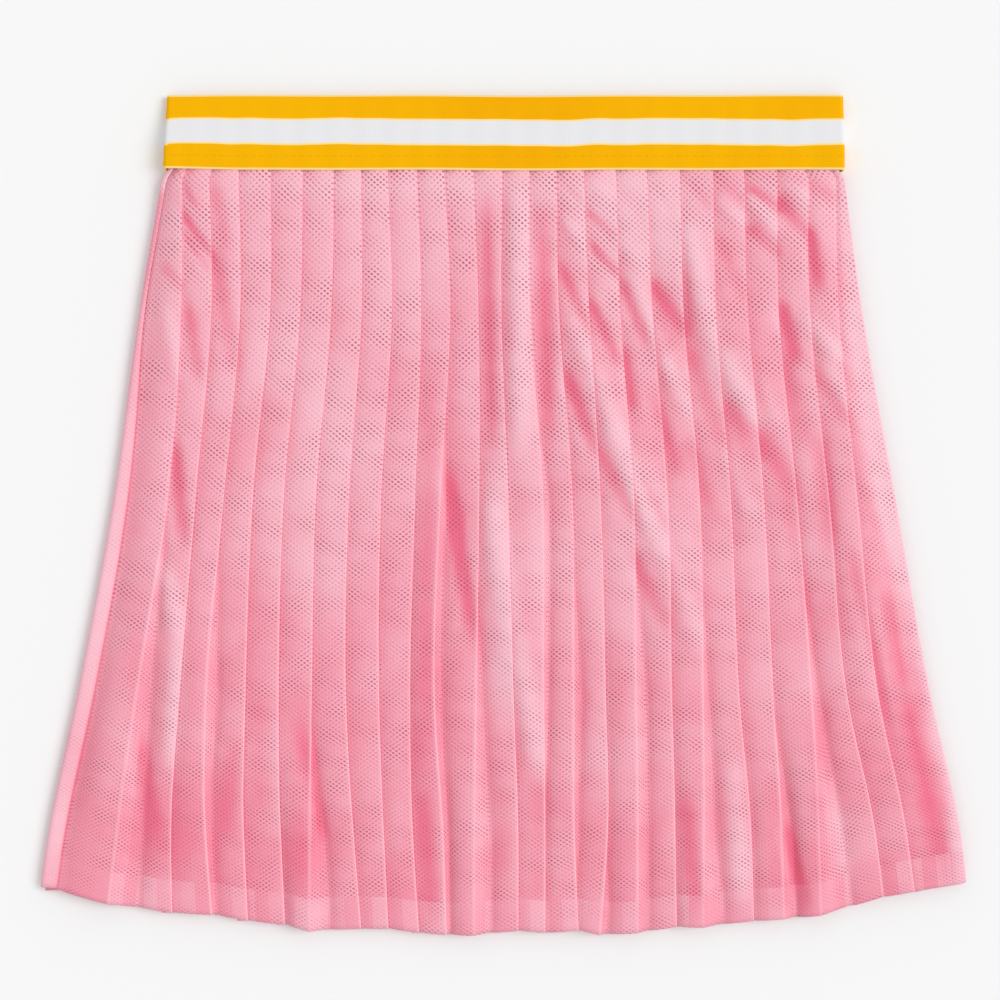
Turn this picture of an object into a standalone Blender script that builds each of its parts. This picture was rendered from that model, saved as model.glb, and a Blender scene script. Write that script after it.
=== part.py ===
"""A pleated skort laid flat, front side up.

A knife-pleated skirt of open mesh hangs from a broad elastic waistband, over a pair of plain inner
shorts. X runs to the viewer's right, Y runs from the hem towards the waistband, and Z runs up from the
surface that the skort lies on. The origin is under the middle of the skort. Sizes are in millimetres
until the points become a mesh.

From the surface up, the layers are: the back of the skirt, both layers of the shorts, the front of the
skirt. The waistband is one flat loop that laps over the skirt's top edges, in front and behind.
"""

from collections import namedtuple

import bpy
import numpy as np

MILLIMETRE = 0.001

# Cloth
WALL = 1.0  # mesh and jersey, with the room that their folds take up
ELASTIC = 1.2  # the waistband's woven elastic
GAP = 0.35  # between layers that lie on each other
SEAM = 0.3  # between pieces that are sewn edge to edge
FOLD = (WALL + GAP) / 2  # a pleat fold's radius, at the middle of the wall

# Waistband
BAND_TOP = 210.0
BAND_BOTTOM = 172.0
BAND_LAP = 8.0  # how far the band laps over the skirt
BAND_LEFT = -169.5
BAND_RIGHT = 170.5
BAND_CORNER = 2.0
BAND_RIM_INSIDE = 3.2  # between the two layers at the top rim
BAND_RIPPLE = 0.5
BAND_LEFT_LEANS = 1.2  # how far the left side comes in from its bottom to its top
BAND_COLUMNS = 19
CORNER_CUT = 0.3  # where a rounded corner's middle lies, as a share of the corner's size

# Skirt
SKIRT_TOP = BAND_BOTTOM + BAND_LAP
SKIRT_TUCK = 0.979  # the skirt's width inside the band, as a share of its width just below
PLEAT_EMERGES = 1.5  # a face leaves the fold before it this far past that fold's crease
BACK_FACE_FALLS = 3.5  # a back pleat reaches the surface within this width
BACK_PLEATS = 24
BACK_LAP_TOP = 7.0
BACK_LAP_HEM = 5.0
BACK_HEM_SHORTER = 1.0
BACK_STARTS_IN = 1.0  # the back's right edge lies this far inside the front's
SIDE_ROUND = 1.5
PLEATED = 3 * WALL + 2 * GAP  # height of one pleated layer, pressed flat
LAST_FACE_LOWER = 0.4  # the face before the right side lies this much below the others
LAST_CROWN_AT = 0.2  # it has risen at this share of its width
LAST_TURN = 0.3  # and turns down at the side within this share of it, or within SIDE_ROUND

# Heights where a layer passes from one thing that it lies on to the next
BAND_EASE_END = 150.0  # below this the back lies on the surface
SHORTS_TOP = 164.0
SHORTS_EASE_START = -140.0  # the front comes down off the shorts from here
SHORTS_EASE_END = -165.0  # to here
LEFT_EASE = 14.0
RIGHT_EASE = 20.0

# The front's pleats, left to right. waist to hem: where the outer crease lies, at the heights in
# STATIONS. lap_mid to lap_hem: how far the cloth laps back under that crease, or, where it is negative,
# how far the pleat stands open beside it. hem_y: the height of the hem there.
Pleat = namedtuple("Pleat", "waist hip mid low flare hem lap_mid lap_low lap_flare lap_hem hem_y")
STATIONS = (171, 107, 7, -88, -163, -195)
LAP_WAIST = 5.5
LAP_HIP = 5.5
LEFT_OUTLINE = Pleat(-170.5, -181.5, -195.5, -213, -228.5, -233, 0, 0, 0, 0, -187)
LEFT_CREASE = Pleat(-167.5, -177.5, -187.5, -204, -219.5, -224, 6, 6, 6, 6, -188)
FRONT_PLEATS = (
    Pleat(-160, -160, -167, -182, -192.5, -196.5, 1.5, -6.5, -12, -14, -194.5),
    Pleat(-146, -145, -153, -160.5, -165.5, -165, 6, 6, 5, 5, -199),
    Pleat(-131.5, -130.5, -139, -147.5, -148, -145.5, 3, -5, -2.5, -1.5, -200),
    Pleat(-115.5, -115.5, -124.5, -128, -129, -127.5, 6, 6, 5, 5, -203),
    Pleat(-99.5, -100.5, -109, -111.5, -110.5, -109, 6, 6, 5, 4, -205),
    Pleat(-84, -85, -93, -95, -96, -96, 6, 3, -7, -9, -208),
    Pleat(-70.5, -70, -76.5, -78, -74, -71.5, 6, 6, 5, 5, -207),
    Pleat(-57, -55, -60.5, -61.5, -59, -57.5, 6, 6, 5, 5, -207),
    Pleat(-42.5, -40.5, -43.5, -46, -44.5, -42.5, 6, 6, 4, 3, -209),
    Pleat(-29, -26, -31, -34, -29.5, -28.5, -2.5, -3, -2, -1.5, -210),
    Pleat(-14.5, -12, -11.5, -13, -14, -14, 4, -2.5, -8, -8, -210),
    Pleat(0, -0.5, 3, 5.5, 8, 8, 6, 6, 5, 5, -208),
    Pleat(13.5, 14, 20, 20.5, 21.5, 21.5, -2.5, -2, 1.5, 4, -209),
    Pleat(27, 28, 35, 35.5, 36, 37.5, 3, -3.5, -1.5, 1.5, -208),
    Pleat(40.5, 43, 49, 51.5, 52.5, 50, 6, 4, 1.5, -2.5, -210),
    Pleat(56.5, 58.5, 65.5, 66.5, 67.5, 67.5, 3, -5, -5, -5, -209),
    Pleat(72, 74.5, 82.5, 84.5, 86.5, 87, 5, 5, 5, 5, -206),
    Pleat(88.5, 90, 98.5, 100, 100.5, 100.5, 4, -2.5, -6, -9.5, -206),
    Pleat(105, 106, 114, 118, 124.5, 125.5, 6, 6, 5, 4, -203),
    Pleat(120.5, 122, 130.5, 135, 139.5, 140.5, 6, 2, -5.5, -6, -202),
    Pleat(137, 137.5, 147, 154, 158, 159, 4, -3, -12, -15.5, -200),
    Pleat(152.5, 153, 163, 171.5, 187, 191, 6, 6, 5, 5, -191),
    Pleat(166.5, 167.5, 177, 187, 202.5, 207, 6, 6, 5, 5, -188.5),
    Pleat(170.5, 179, 196.5, 213.5, 229.5, 233, 0, 0, 0, 0, -182),
)
LAP_LEAST = 1.5  # a pleat is shut or open by at least this much
LIFT_SHARE = 0.25  # an open pleat's crease stands up by this share of its opening
LIFT_MOST = 3.0
FACE_CROWN_AT = 0.4  # a face has risen by FACE_CROWN of its height at this share of its width
FACE_CROWN = 0.95
FALL = ((0.33, 0.67), (0.75, 0.3))  # an open pleat's fall: shares of its opening and of the height left
LAP_CLEAR = 2.5  # its lap ends at least this far short of that crown
LAP_SIDE_SHARE = 0.1  # and near a side of the skirt it is no more than this share of the way there

# The front's largest soft ridges: both ends, the width from crown to foot, and the height.
Ridge = namedtuple("Ridge", "x_top y_top x_bottom y_bottom width height")
RIDGES = (
    Ridge(5, 140, 8, 15, 22, 1.4),
    Ridge(-6, 0, 16, -95, 22, 1.4),
    Ridge(29, 104, 96, -65, 28, 1.9),
    Ridge(90, 140, 128, 47, 24, 1.6),
    Ridge(-172, -23, -160, -110, 22, 1.0),
    Ridge(170, 10, 184, -95, 24, 1.6),
)

# Heights of the sections, from the top down. The hem is one more, which follows hem_y.
BAND_ROWS = (BAND_TOP, 200.0, 190.0, 181.0, 176.0, BAND_BOTTOM)
FRONT_ROWS = (SKIRT_TOP, BAND_BOTTOM, SHORTS_TOP, 150, 107, 57, 7, -43, -88, -118, -140, -165)
BACK_ROWS = (SKIRT_TOP, BAND_BOTTOM, SHORTS_TOP, 150, 107, 57, -43, -140)

# The inner shorts, a row for each section: the outer and inner edges of both legs. The legs part below
# the crotch, at height 22. The last row is each leg's hem, which rises towards the outside.
Shorts = namedtuple("Shorts", "y left_outer left_inner right_inner right_outer")
SHORTS_ROWS = (
    Shorts(SHORTS_TOP, -150, -4, -4 + SEAM, 147),
    Shorts(150, -152, -5, -5 + SEAM, 149),
    Shorts(107, -159, -8, -8 + SEAM, 155),
    Shorts(57, -165, -12, -12 + SEAM, 165),
    Shorts(22, -169, -15, -15 + SEAM, 170),
    Shorts(-10, -172, -21, -12, 175),
    Shorts(-43, -174, -25, -10, 177),
    Shorts(-88, -173, -29, -8, 176),
)
LEG_COLUMNS = 6
LEG_HEM = {
    "left": {"outer": (-172, -103), "inner": (-32, -127)},
    "right": {"outer": (172, -110), "inner": (-6, -135)},
}


def ease(share):
    """0 below 0, 1 above 1, and a smooth step between."""
    share = np.clip(share, 0.0, 1.0)
    return share * share * (3 - 2 * share)


def at_height(values, y):
    """The values at STATIONS, read at height y from a smooth curve through them."""
    down = -np.array(STATIONS, float)
    values = np.array(values, float)
    slopes = np.gradient(values, down)
    y = np.clip(-y, down[0] - 10, down[-1] + 20)
    k = int(np.clip(np.searchsorted(down, y) - 1, 0, len(down) - 2))
    step = down[k + 1] - down[k]
    t = (y - down[k]) / step
    if t < 0 or t > 1:
        end = k if t < 0 else k + 1
        return values[end] + slopes[end] * (y - down[end])
    return (
        values[k] * (1 + 2 * t) * (1 - t) ** 2
        + values[k + 1] * t * t * (3 - 2 * t)
        + slopes[k] * step * t * (1 - t) ** 2
        - slopes[k + 1] * step * t * t * (1 - t)
    )


def crease_at(pleat, y):
    """Where a pleat's crease lies at height y. Inside the band the skirt is drawn in a little."""
    tuck = SKIRT_TUCK + (1 - SKIRT_TUCK) * ease((BAND_BOTTOM - y) / (BAND_BOTTOM - SHORTS_TOP))
    return tuck * at_height((pleat.waist, pleat.hip, pleat.mid, pleat.low, pleat.flare, pleat.hem), y)


def lap_at(pleat, y):
    """How far a pleat laps under its crease at height y, or, if negative, how far it stands open."""
    laps = (LAP_WAIST, LAP_HIP, pleat.lap_mid, pleat.lap_low, pleat.lap_flare, pleat.lap_hem)
    lap = float(np.interp(-y, [-s for s in STATIONS], laps))
    return max(lap, LAP_LEAST) if lap > 0 else min(lap, -LAP_LEAST)


def back_rise(y):
    """How high the back's underside lies: on the elastic inside the band, on the surface below it."""
    return (ELASTIC + GAP) * float(np.clip((y - BAND_EASE_END) / (BAND_BOTTOM - BAND_EASE_END), 0, 1))


def front_rise(x, y):
    """How high the front's underside lies: on the back, and on the shorts where they reach."""
    on_back = back_rise(y) + PLEATED + GAP
    below_band = (BAND_BOTTOM - y) / (BAND_BOTTOM - SHORTS_TOP)
    above_hem = (y - SHORTS_EASE_END) / (SHORTS_EASE_START - SHORTS_EASE_END)
    from_left = ease((x - crease_at(LEFT_CREASE, y)) / LEFT_EASE)
    from_right = ease((crease_at(FRONT_PLEATS[-1], y) - x) / RIGHT_EASE)
    inside = from_left * from_right
    over_shorts = np.clip(below_band, 0, 1) * np.clip(above_hem, 0, 1) * inside
    return on_back + (2 * WALL + 2 * GAP) * over_shorts + ridge_height(x, y) * inside


def ridge_height(x, y):
    """The soft ridges at (x, y): a bell across each ridge's line, dying away at both its ends."""
    height = np.zeros_like(x)
    for ridge in RIDGES:
        run = np.array([ridge.x_bottom - ridge.x_top, ridge.y_bottom - ridge.y_top])
        length = np.hypot(*run)
        dx = x - ridge.x_top
        dy = y - ridge.y_top
        along = (dx * run[0] + dy * run[1]) / length**2
        across = np.abs(dx * run[1] - dy * run[0]) / length
        bell = ease(1 - across / ridge.width)
        height += ridge.height * bell * ease(4 * along + 0.5) * ease(4 * (1 - along) + 0.5)
    return height


def fold_points(crease, lap, lift):
    """A knife pleat's fold, from the end of its face to the start of the next, as (along, height).

    The face comes in along the top, turns round the crease, laps back under itself by lap, and turns
    again to run out along the bottom. With a negative lap the cloth falls straight from the crease to
    the bottom, that far beyond it.
    """
    low = WALL / 2
    middle = low + WALL + GAP
    high = middle + WALL + GAP + lift
    if lap > 0:
        back = min(lap / 2, FOLD)
        inner = [(crease - back, high - 2 * FOLD), (crease - lap, middle)]
    else:
        fall = high - FOLD - low
        inner = [(crease - share * lap, low + left * fall) for share, left in FALL]
    return [(crease - FOLD, high), (crease, high - FOLD), *inner, (crease - lap, low)]


def face_points(start, crease, height, flat):
    """A pleat's face between the fold before it and its own crease, as (along, height).

    It rises in a soft crown on the front. On the back it goes straight to its full height, so that the
    pleat lies flat on the surface.
    """
    low = WALL / 2
    if flat:
        return [(start, low), (start + BACK_FACE_FALLS, low + height)]
    crown = start + FACE_CROWN_AT * (crease - start)
    return [(start, low), (crown, low + FACE_CROWN * height)]


def wall_faces(path, wall, closed):
    """A wall's outer and inner face: the path moved by half the wall to its left and right, mitred."""
    following = np.roll(path, -1, axis=0) - path
    if not closed:
        following[-1] = following[-2]
    following /= np.linalg.norm(following, axis=1)[:, None]
    before = np.roll(following, 1, axis=0)
    if not closed:
        before[0] = following[0]
    left = np.stack([-following[:, 1], following[:, 0]], axis=1)
    left_before = np.stack([-before[:, 1], before[:, 0]], axis=1)
    middle = left + left_before
    middle /= np.linalg.norm(middle, axis=1)[:, None]
    reach = 1 / np.clip((middle * left).sum(axis=1), 0.5, 1.0)
    offset = middle * (reach * wall / 2)[:, None]
    return path + offset, path - offset


def loft(name, sections, heights, wall, closed, material):
    """A wall lofted through sections. Each is a path of (x, z), and heights has the y of each point."""
    count = len(sections[0])
    outer = []
    inner = []
    for path, y in zip(sections, heights):
        out, into = wall_faces(np.array(path, float), wall, closed)
        outer.append(np.column_stack([out[:, 0], y, out[:, 1]]))
        inner.append(np.column_stack([into[:, 0], y, into[:, 1]]))
    points = np.concatenate(outer + inner) * MILLIMETRE
    rows = len(sections)
    inside = rows * count

    faces = []
    spans = count if closed else count - 1
    for row in range(rows - 1):
        for column in range(spans):
            a = row * count + column
            b = row * count + (column + 1) % count
            for side, turn in ((0, 1), (inside, -1)):
                faces.append((a + side, a + count + side, b + count + side)[::turn])
                faces.append((a + side, b + count + side, b + side)[::turn])
    for column in range(spans):
        a = column
        b = (column + 1) % count
        faces.append((a, b, b + inside, a + inside))
        a += (rows - 1) * count
        b += (rows - 1) * count
        faces.append((b, a, a + inside, b + inside))
    if not closed:
        for row in range(rows - 1):
            a = row * count
            faces.append((a + count, a, a + inside, a + count + inside))
            a += count - 1
            faces.append((a, a + count, a + count + inside, a + inside))

    mesh = bpy.data.meshes.new(name)
    mesh.from_pydata(points.tolist(), [], faces)
    mesh.materials.append(material)
    mesh.shade_smooth()
    mesh.set_sharp_from_angle(angle=0.6)
    piece = bpy.data.objects.new(name, mesh)
    bpy.data.collections["pleated_skort"].objects.link(piece)
    return piece


def fabric(name, colour, roughness):
    """A cloth finish: colour in linear RGB, no metal."""
    material = bpy.data.materials.new(name)
    material.use_nodes = True
    shader = material.node_tree.nodes["Principled BSDF"]
    shader.inputs["Base Color"].default_value = (*colour, 1.0)
    shader.inputs["Roughness"].default_value = roughness
    shader.inputs["Metallic"].default_value = 0.0
    return material


def hem_height(x):
    """The height of the front's hem at x, through the hem_y of the outline and every pleat."""
    pleats = (LEFT_OUTLINE, LEFT_CREASE, *FRONT_PLEATS)
    return np.interp(x, [p.hem for p in pleats], [p.hem_y for p in pleats])


def front_section(y):
    """The skirt front across height y, from under the left side's strip, round the right side."""
    left_side = crease_at(LEFT_CREASE, y)
    right_side = crease_at(FRONT_PLEATS[-1], y)
    inside_strip = crease_at(LEFT_OUTLINE, y) + 1.5 * WALL + GAP
    path = [(max(left_side - LEFT_CREASE.lap_hem, inside_strip), WALL / 2)]
    emerge = left_side + PLEAT_EMERGES
    for pleat in FRONT_PLEATS[:-1]:
        crease = crease_at(pleat, y) - WALL / 2
        to_side = min(crease - left_side, right_side - crease)
        most = min((1 - FACE_CROWN_AT) * (crease - emerge) - LAP_CLEAR, LAP_SIDE_SHARE * to_side)
        lap = min(lap_at(pleat, y), max(LAP_LEAST, most))
        lift = min(LIFT_SHARE * max(-lap, 0), LIFT_MOST)
        path += face_points(emerge, crease, PLEATED - WALL + lift, False)
        path += fold_points(crease, lap, lift)
        emerge = max(crease, crease - lap) + PLEAT_EMERGES
    edge = right_side - WALL / 2
    top = PLEATED - WALL / 2 - LAST_FACE_LOWER
    room = edge - emerge
    turn = min(SIDE_ROUND, LAST_TURN * room)
    path += [(emerge, WALL / 2), (emerge + LAST_CROWN_AT * room, top), (edge - turn, top)]
    path += [(edge, top - turn), (edge, SEAM)]
    path = np.array(path)
    path[:, 1] += front_rise(path[:, 0], y)
    return path


def skirt_front(material):
    """The pleated front, flared from the waist and open at the lower pleats."""
    sections = [front_section(y) for y in FRONT_ROWS]
    heights = [np.full(len(sections[0]), float(y)) for y in FRONT_ROWS]
    hem = front_section(STATIONS[-1])
    sections.append(hem)
    heights.append(hem_height(hem[:, 0]))
    loft("skirt_front", sections, heights, WALL, False, material)


def back_section(y):
    """The skirt back across height y, from the right side to the left, round the left side.

    It is the front's section turned half round about Y: its faces lie on the surface. Past its last
    pleat it rolls up round the left side, and shows from the front as a strip beside the first pleat.
    """
    right = -crease_at(FRONT_PLEATS[-1], y)
    left = -crease_at(LEFT_OUTLINE, y) - WALL / 2
    pitch = (left - right) / BACK_PLEATS
    down = (SKIRT_TOP - y) / (SKIRT_TOP - STATIONS[-1])
    lap = BACK_LAP_TOP + (BACK_LAP_HEM - BACK_LAP_TOP) * down
    path = []
    emerge = right + BACK_STARTS_IN
    for k in range(1, BACK_PLEATS):
        crease = right + k * pitch
        path += face_points(emerge, crease, PLEATED - WALL, True)
        path += fold_points(crease, lap, 0.0)
        emerge = crease + PLEAT_EMERGES
    path += face_points(emerge, left, PLEATED - WALL, True)
    high = PLEATED - WALL / 2
    strip = PLEATED - (PLEATED + GAP + WALL / 2 + WALL + GAP)
    path += [(left - SIDE_ROUND, high), (left, high - SIDE_ROUND)]
    path += [(left, strip + SIDE_ROUND), (left - SIDE_ROUND / 2, strip)]
    path.append((-crease_at(LEFT_CREASE, y), strip))
    path = np.array(path)
    return np.column_stack([-path[:, 0], back_rise(y) + PLEATED - path[:, 1]])


def skirt_back(material):
    """The pleated back, flat on the surface."""
    sections = [back_section(y) for y in BACK_ROWS]
    heights = [np.full(len(sections[0]), float(y)) for y in BACK_ROWS]
    hem = back_section(STATIONS[-1])
    sections.append(hem)
    heights.append(hem_height(hem[:, 0]) + BACK_HEM_SHORTER)
    loft("skirt_back", sections, heights, WALL, False, material)


def band_section(y):
    """The waistband's flat loop across height y: a rounded rectangle, from its top left, clockwise."""
    half = ELASTIC / 2
    on_skirt = 2 * ELASTIC + 2 * PLEATED + 3 * GAP - half
    at_rim = ELASTIC + BAND_RIM_INSIDE + half
    top = at_rim + (on_skirt - at_rim) * ease((BAND_TOP - y) / (BAND_TOP - SKIRT_TOP - 1))
    left = BAND_LEFT + half + BAND_LEFT_LEANS * (y - BAND_BOTTOM) / (BAND_TOP - BAND_BOTTOM)
    right = BAND_RIGHT - half
    turn = BAND_CORNER - half
    cut = CORNER_CUT * turn
    along = np.linspace(left + turn, right - turn, BAND_COLUMNS)
    path = [(x, top) for x in along]
    path += [(right - cut, top - cut), (right, top - turn), (right, half + turn)]
    path += [(right - cut, half + cut)]
    path += [(x, half) for x in along[::-1]]
    path += [(left + cut, half + cut), (left, half + turn), (left, top - turn)]
    path += [(left + cut, top - cut)]
    return np.array(path)


def waistband(material):
    """One loop of striped elastic, whose edges ripple a little."""
    sections = [band_section(y) for y in BAND_ROWS]
    heights = []
    for y, section in zip(BAND_ROWS, sections):
        ripple = np.sin(section[:, 0] / 21 + 1) * np.cos(section[:, 0] / 55)
        heights.append(y - BAND_RIPPLE * (0.5 + 0.5 * ripple))
    loft("waistband", sections, heights, ELASTIC, True, material)


def leg_section(y, inner, outer):
    """One leg of the shorts across height y: both layers, folded round the leg's outer side."""
    bottom = back_rise(y) + PLEATED + GAP + WALL / 2
    top = bottom + WALL + GAP
    side = 1 if outer > inner else -1
    across = np.linspace(inner, outer - side * FOLD, LEG_COLUMNS)
    over = [(x, top) for x in across]
    under = [(x, bottom) for x in across[::-1]]
    path = over + [(outer, (top + bottom) / 2)] + under
    return np.array(path if side > 0 else path[::-1])


def shorts_leg(side, material):
    """One leg, cut in one piece and sewn to the other at the middle and to itself below the crotch."""
    sections = []
    heights = []
    for row in SHORTS_ROWS:
        inner = row.left_inner if side == "left" else row.right_inner
        outer = row.left_outer if side == "left" else row.right_outer
        sections.append(leg_section(row.y, inner, outer))
        heights.append(np.full(len(sections[-1]), float(row.y)))
    outer, inner = LEG_HEM[side]["outer"], LEG_HEM[side]["inner"]
    hem = leg_section(outer[1], inner[0], outer[0])
    share = (hem[:, 0] - outer[0]) / (inner[0] - outer[0])
    sections.append(hem)
    heights.append(outer[1] + share * (inner[1] - outer[1]))
    loft(f"shorts_{side}_leg", sections, heights, WALL, False, material)


def main():
    for obj in list(bpy.data.objects):
        bpy.data.objects.remove(obj)
    collection = bpy.data.collections.new("pleated_skort")
    bpy.context.scene.collection.children.link(collection)

    waistband(fabric("striped_elastic", (0.93, 0.45, 0.02), 0.6))
    skirt_front(fabric("front_mesh", (0.89, 0.32, 0.43), 0.75))
    skirt_back(fabric("back_mesh", (0.84, 0.28, 0.39), 0.75))
    shorts_leg("left", fabric("left_jersey", (0.86, 0.33, 0.44), 0.8))
    shorts_leg("right", fabric("right_jersey", (0.86, 0.33, 0.44), 0.8))


main()
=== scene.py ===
"""A pleated mesh skort laid flat, front side up, with a striped elastic waistband."""

from collections import namedtuple

import bpy
import numpy as np
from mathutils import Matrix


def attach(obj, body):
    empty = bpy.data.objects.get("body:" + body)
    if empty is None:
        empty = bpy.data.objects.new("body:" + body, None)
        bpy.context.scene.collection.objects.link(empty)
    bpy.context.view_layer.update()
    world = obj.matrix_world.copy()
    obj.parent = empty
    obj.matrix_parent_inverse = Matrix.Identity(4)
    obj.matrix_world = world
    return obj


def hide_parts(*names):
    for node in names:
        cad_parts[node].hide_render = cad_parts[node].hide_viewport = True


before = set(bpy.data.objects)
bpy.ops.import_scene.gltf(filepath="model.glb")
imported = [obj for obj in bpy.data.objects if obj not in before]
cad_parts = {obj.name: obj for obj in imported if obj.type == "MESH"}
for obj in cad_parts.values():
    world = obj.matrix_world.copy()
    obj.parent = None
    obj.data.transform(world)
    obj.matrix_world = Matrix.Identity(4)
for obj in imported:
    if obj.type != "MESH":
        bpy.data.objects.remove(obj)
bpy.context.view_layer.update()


# ---- The table, the light and the camera --------------------------------------------------------
# The skort lies on a plain white table. One broad light comes in low from the right, so that each
# fold throws a soft shade to its left, and pale light from all round fills the shade.

TABLE_SIZE = 30.0  # metres
TABLE_WHITE = (0.895, 0.895, 0.895, 1.0)


def new_finish(name, values):
    """A new material, its node tree and its Principled shader, with the shader's named sockets set."""
    material = bpy.data.materials.new(name)
    material.use_nodes = True
    shader = material.node_tree.nodes["Principled BSDF"]
    for socket, value in values.items():
        shader.inputs[socket].default_value = value
    return material, material.node_tree, shader


table_mesh = bpy.data.meshes.new("table_top")
half = TABLE_SIZE / 2
table_corners = [(-half, -half, 0), (half, -half, 0), (half, half, 0), (-half, half, 0)]
table_mesh.from_pydata(table_corners, [], [(0, 1, 2, 3)])
table_top = bpy.data.objects.new("table_top", table_mesh)
bpy.context.scene.collection.objects.link(table_top)
table_mesh.materials.append(new_finish("white_table", {"Base Color": TABLE_WHITE, "Roughness": 0.9})[0])

KEY_FROM = (0.66, 0.06, 0.75)  # towards the light
KEY_STRENGTH = 1.35
KEY_SPREAD = 0.6  # the light's apparent width, in radians
FILL = 0.725  # with the key light, this shows the table as a very pale grey

key_light = bpy.data.lights.new("key_light", "SUN")
key_light.energy = KEY_STRENGTH
key_light.angle = KEY_SPREAD
key = bpy.data.objects.new("key_light", key_light)
bpy.context.scene.collection.objects.link(key)
# a sun shines down its own -Z axis, so its +Z axis is turned towards KEY_FROM
towards = np.array(KEY_FROM) / np.linalg.norm(KEY_FROM)
key.rotation_euler = (np.arccos(towards[2]), 0.0, np.arctan2(towards[0], -towards[1]))

world = bpy.data.worlds.new("pale_room")
world.use_nodes = True
world.node_tree.nodes["Background"].inputs["Color"].default_value = (1.0, 1.0, 1.0, 1.0)
world.node_tree.nodes["Background"].inputs["Strength"].default_value = FILL
bpy.context.scene.world = world
bpy.context.scene.view_settings.view_transform = "Standard"

PICTURE_WIDTH = 0.500  # metres of table across the picture
PICTURE_CENTRE = (-0.0015, 0.00725)
MID_HEIGHT = 0.006  # of the cloth's upper side, where the picture's scale is read
LENS = 85.0
SENSOR = 36.0

camera_data = bpy.data.cameras.new("camera")
camera_data.lens = LENS
camera_data.sensor_width = SENSOR
camera = bpy.data.objects.new("camera", camera_data)
camera.location = (*PICTURE_CENTRE, MID_HEIGHT + PICTURE_WIDTH * LENS / SENSOR)
bpy.context.scene.collection.objects.link(camera)
bpy.context.scene.camera = camera


# ---- The front of the skirt ---------------------------------------------------------------------
# One panel of open sports mesh, pressed into knife pleats that all turn to the right and are held
# only by the waistband, so that they spread and drape below. Its hem is turned up 16 mm.

MILLIMETRE = 0.001
WALL = 1.0  # of the cloth in the solids, on whose form the thin cloth lies
ELASTIC = 1.2  # of the waistband in the solids
GAP = 0.35  # between one layer and the next
FOLD = (WALL + GAP) / 2  # a pleat fold's radius
PLEATED = 3 * WALL + 2 * GAP  # the height of a closed pleat's three layers
CLOTH = 0.5  # the mesh's own thickness
THIN_FOLD = 0.36  # the radius of its own fold, at the middle of the cloth

BAND_BOTTOM = 172.0
SKIRT_TOP = 180.0
TUCK = 2.5  # how far the skirt's sides are drawn in, to fit inside the band
TUCK_STARTS = 130.0  # from the middle
TUCK_LENGTH = 5.0  # below the band
BAND_HALF = 170.0
SHORTS_TOP = 164.0
BAND_EASE_END = 150.0
SHORTS_EASE_START = -140.0
SHORTS_EASE_END = -165.0
LEFT_EASE = 14.0  # from the left strip to where the front lies at its full height
RIGHT_EASE = 20.0  # and from the right side
PLEAT_EMERGES = 1.5  # from one pleat's crease to where the next face comes out from under it
HEM_LEVEL = -200.0  # the hem's height, before it curves
HEM_TURN_UP = 16.0
KNIT_LENGTH = 474.0  # of the knit at its own pitch, by the holes counted from the top to the hem's edge
SLACK_BELOW = 0.19  # share of the length by which the holes lie closer towards the hem

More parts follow.
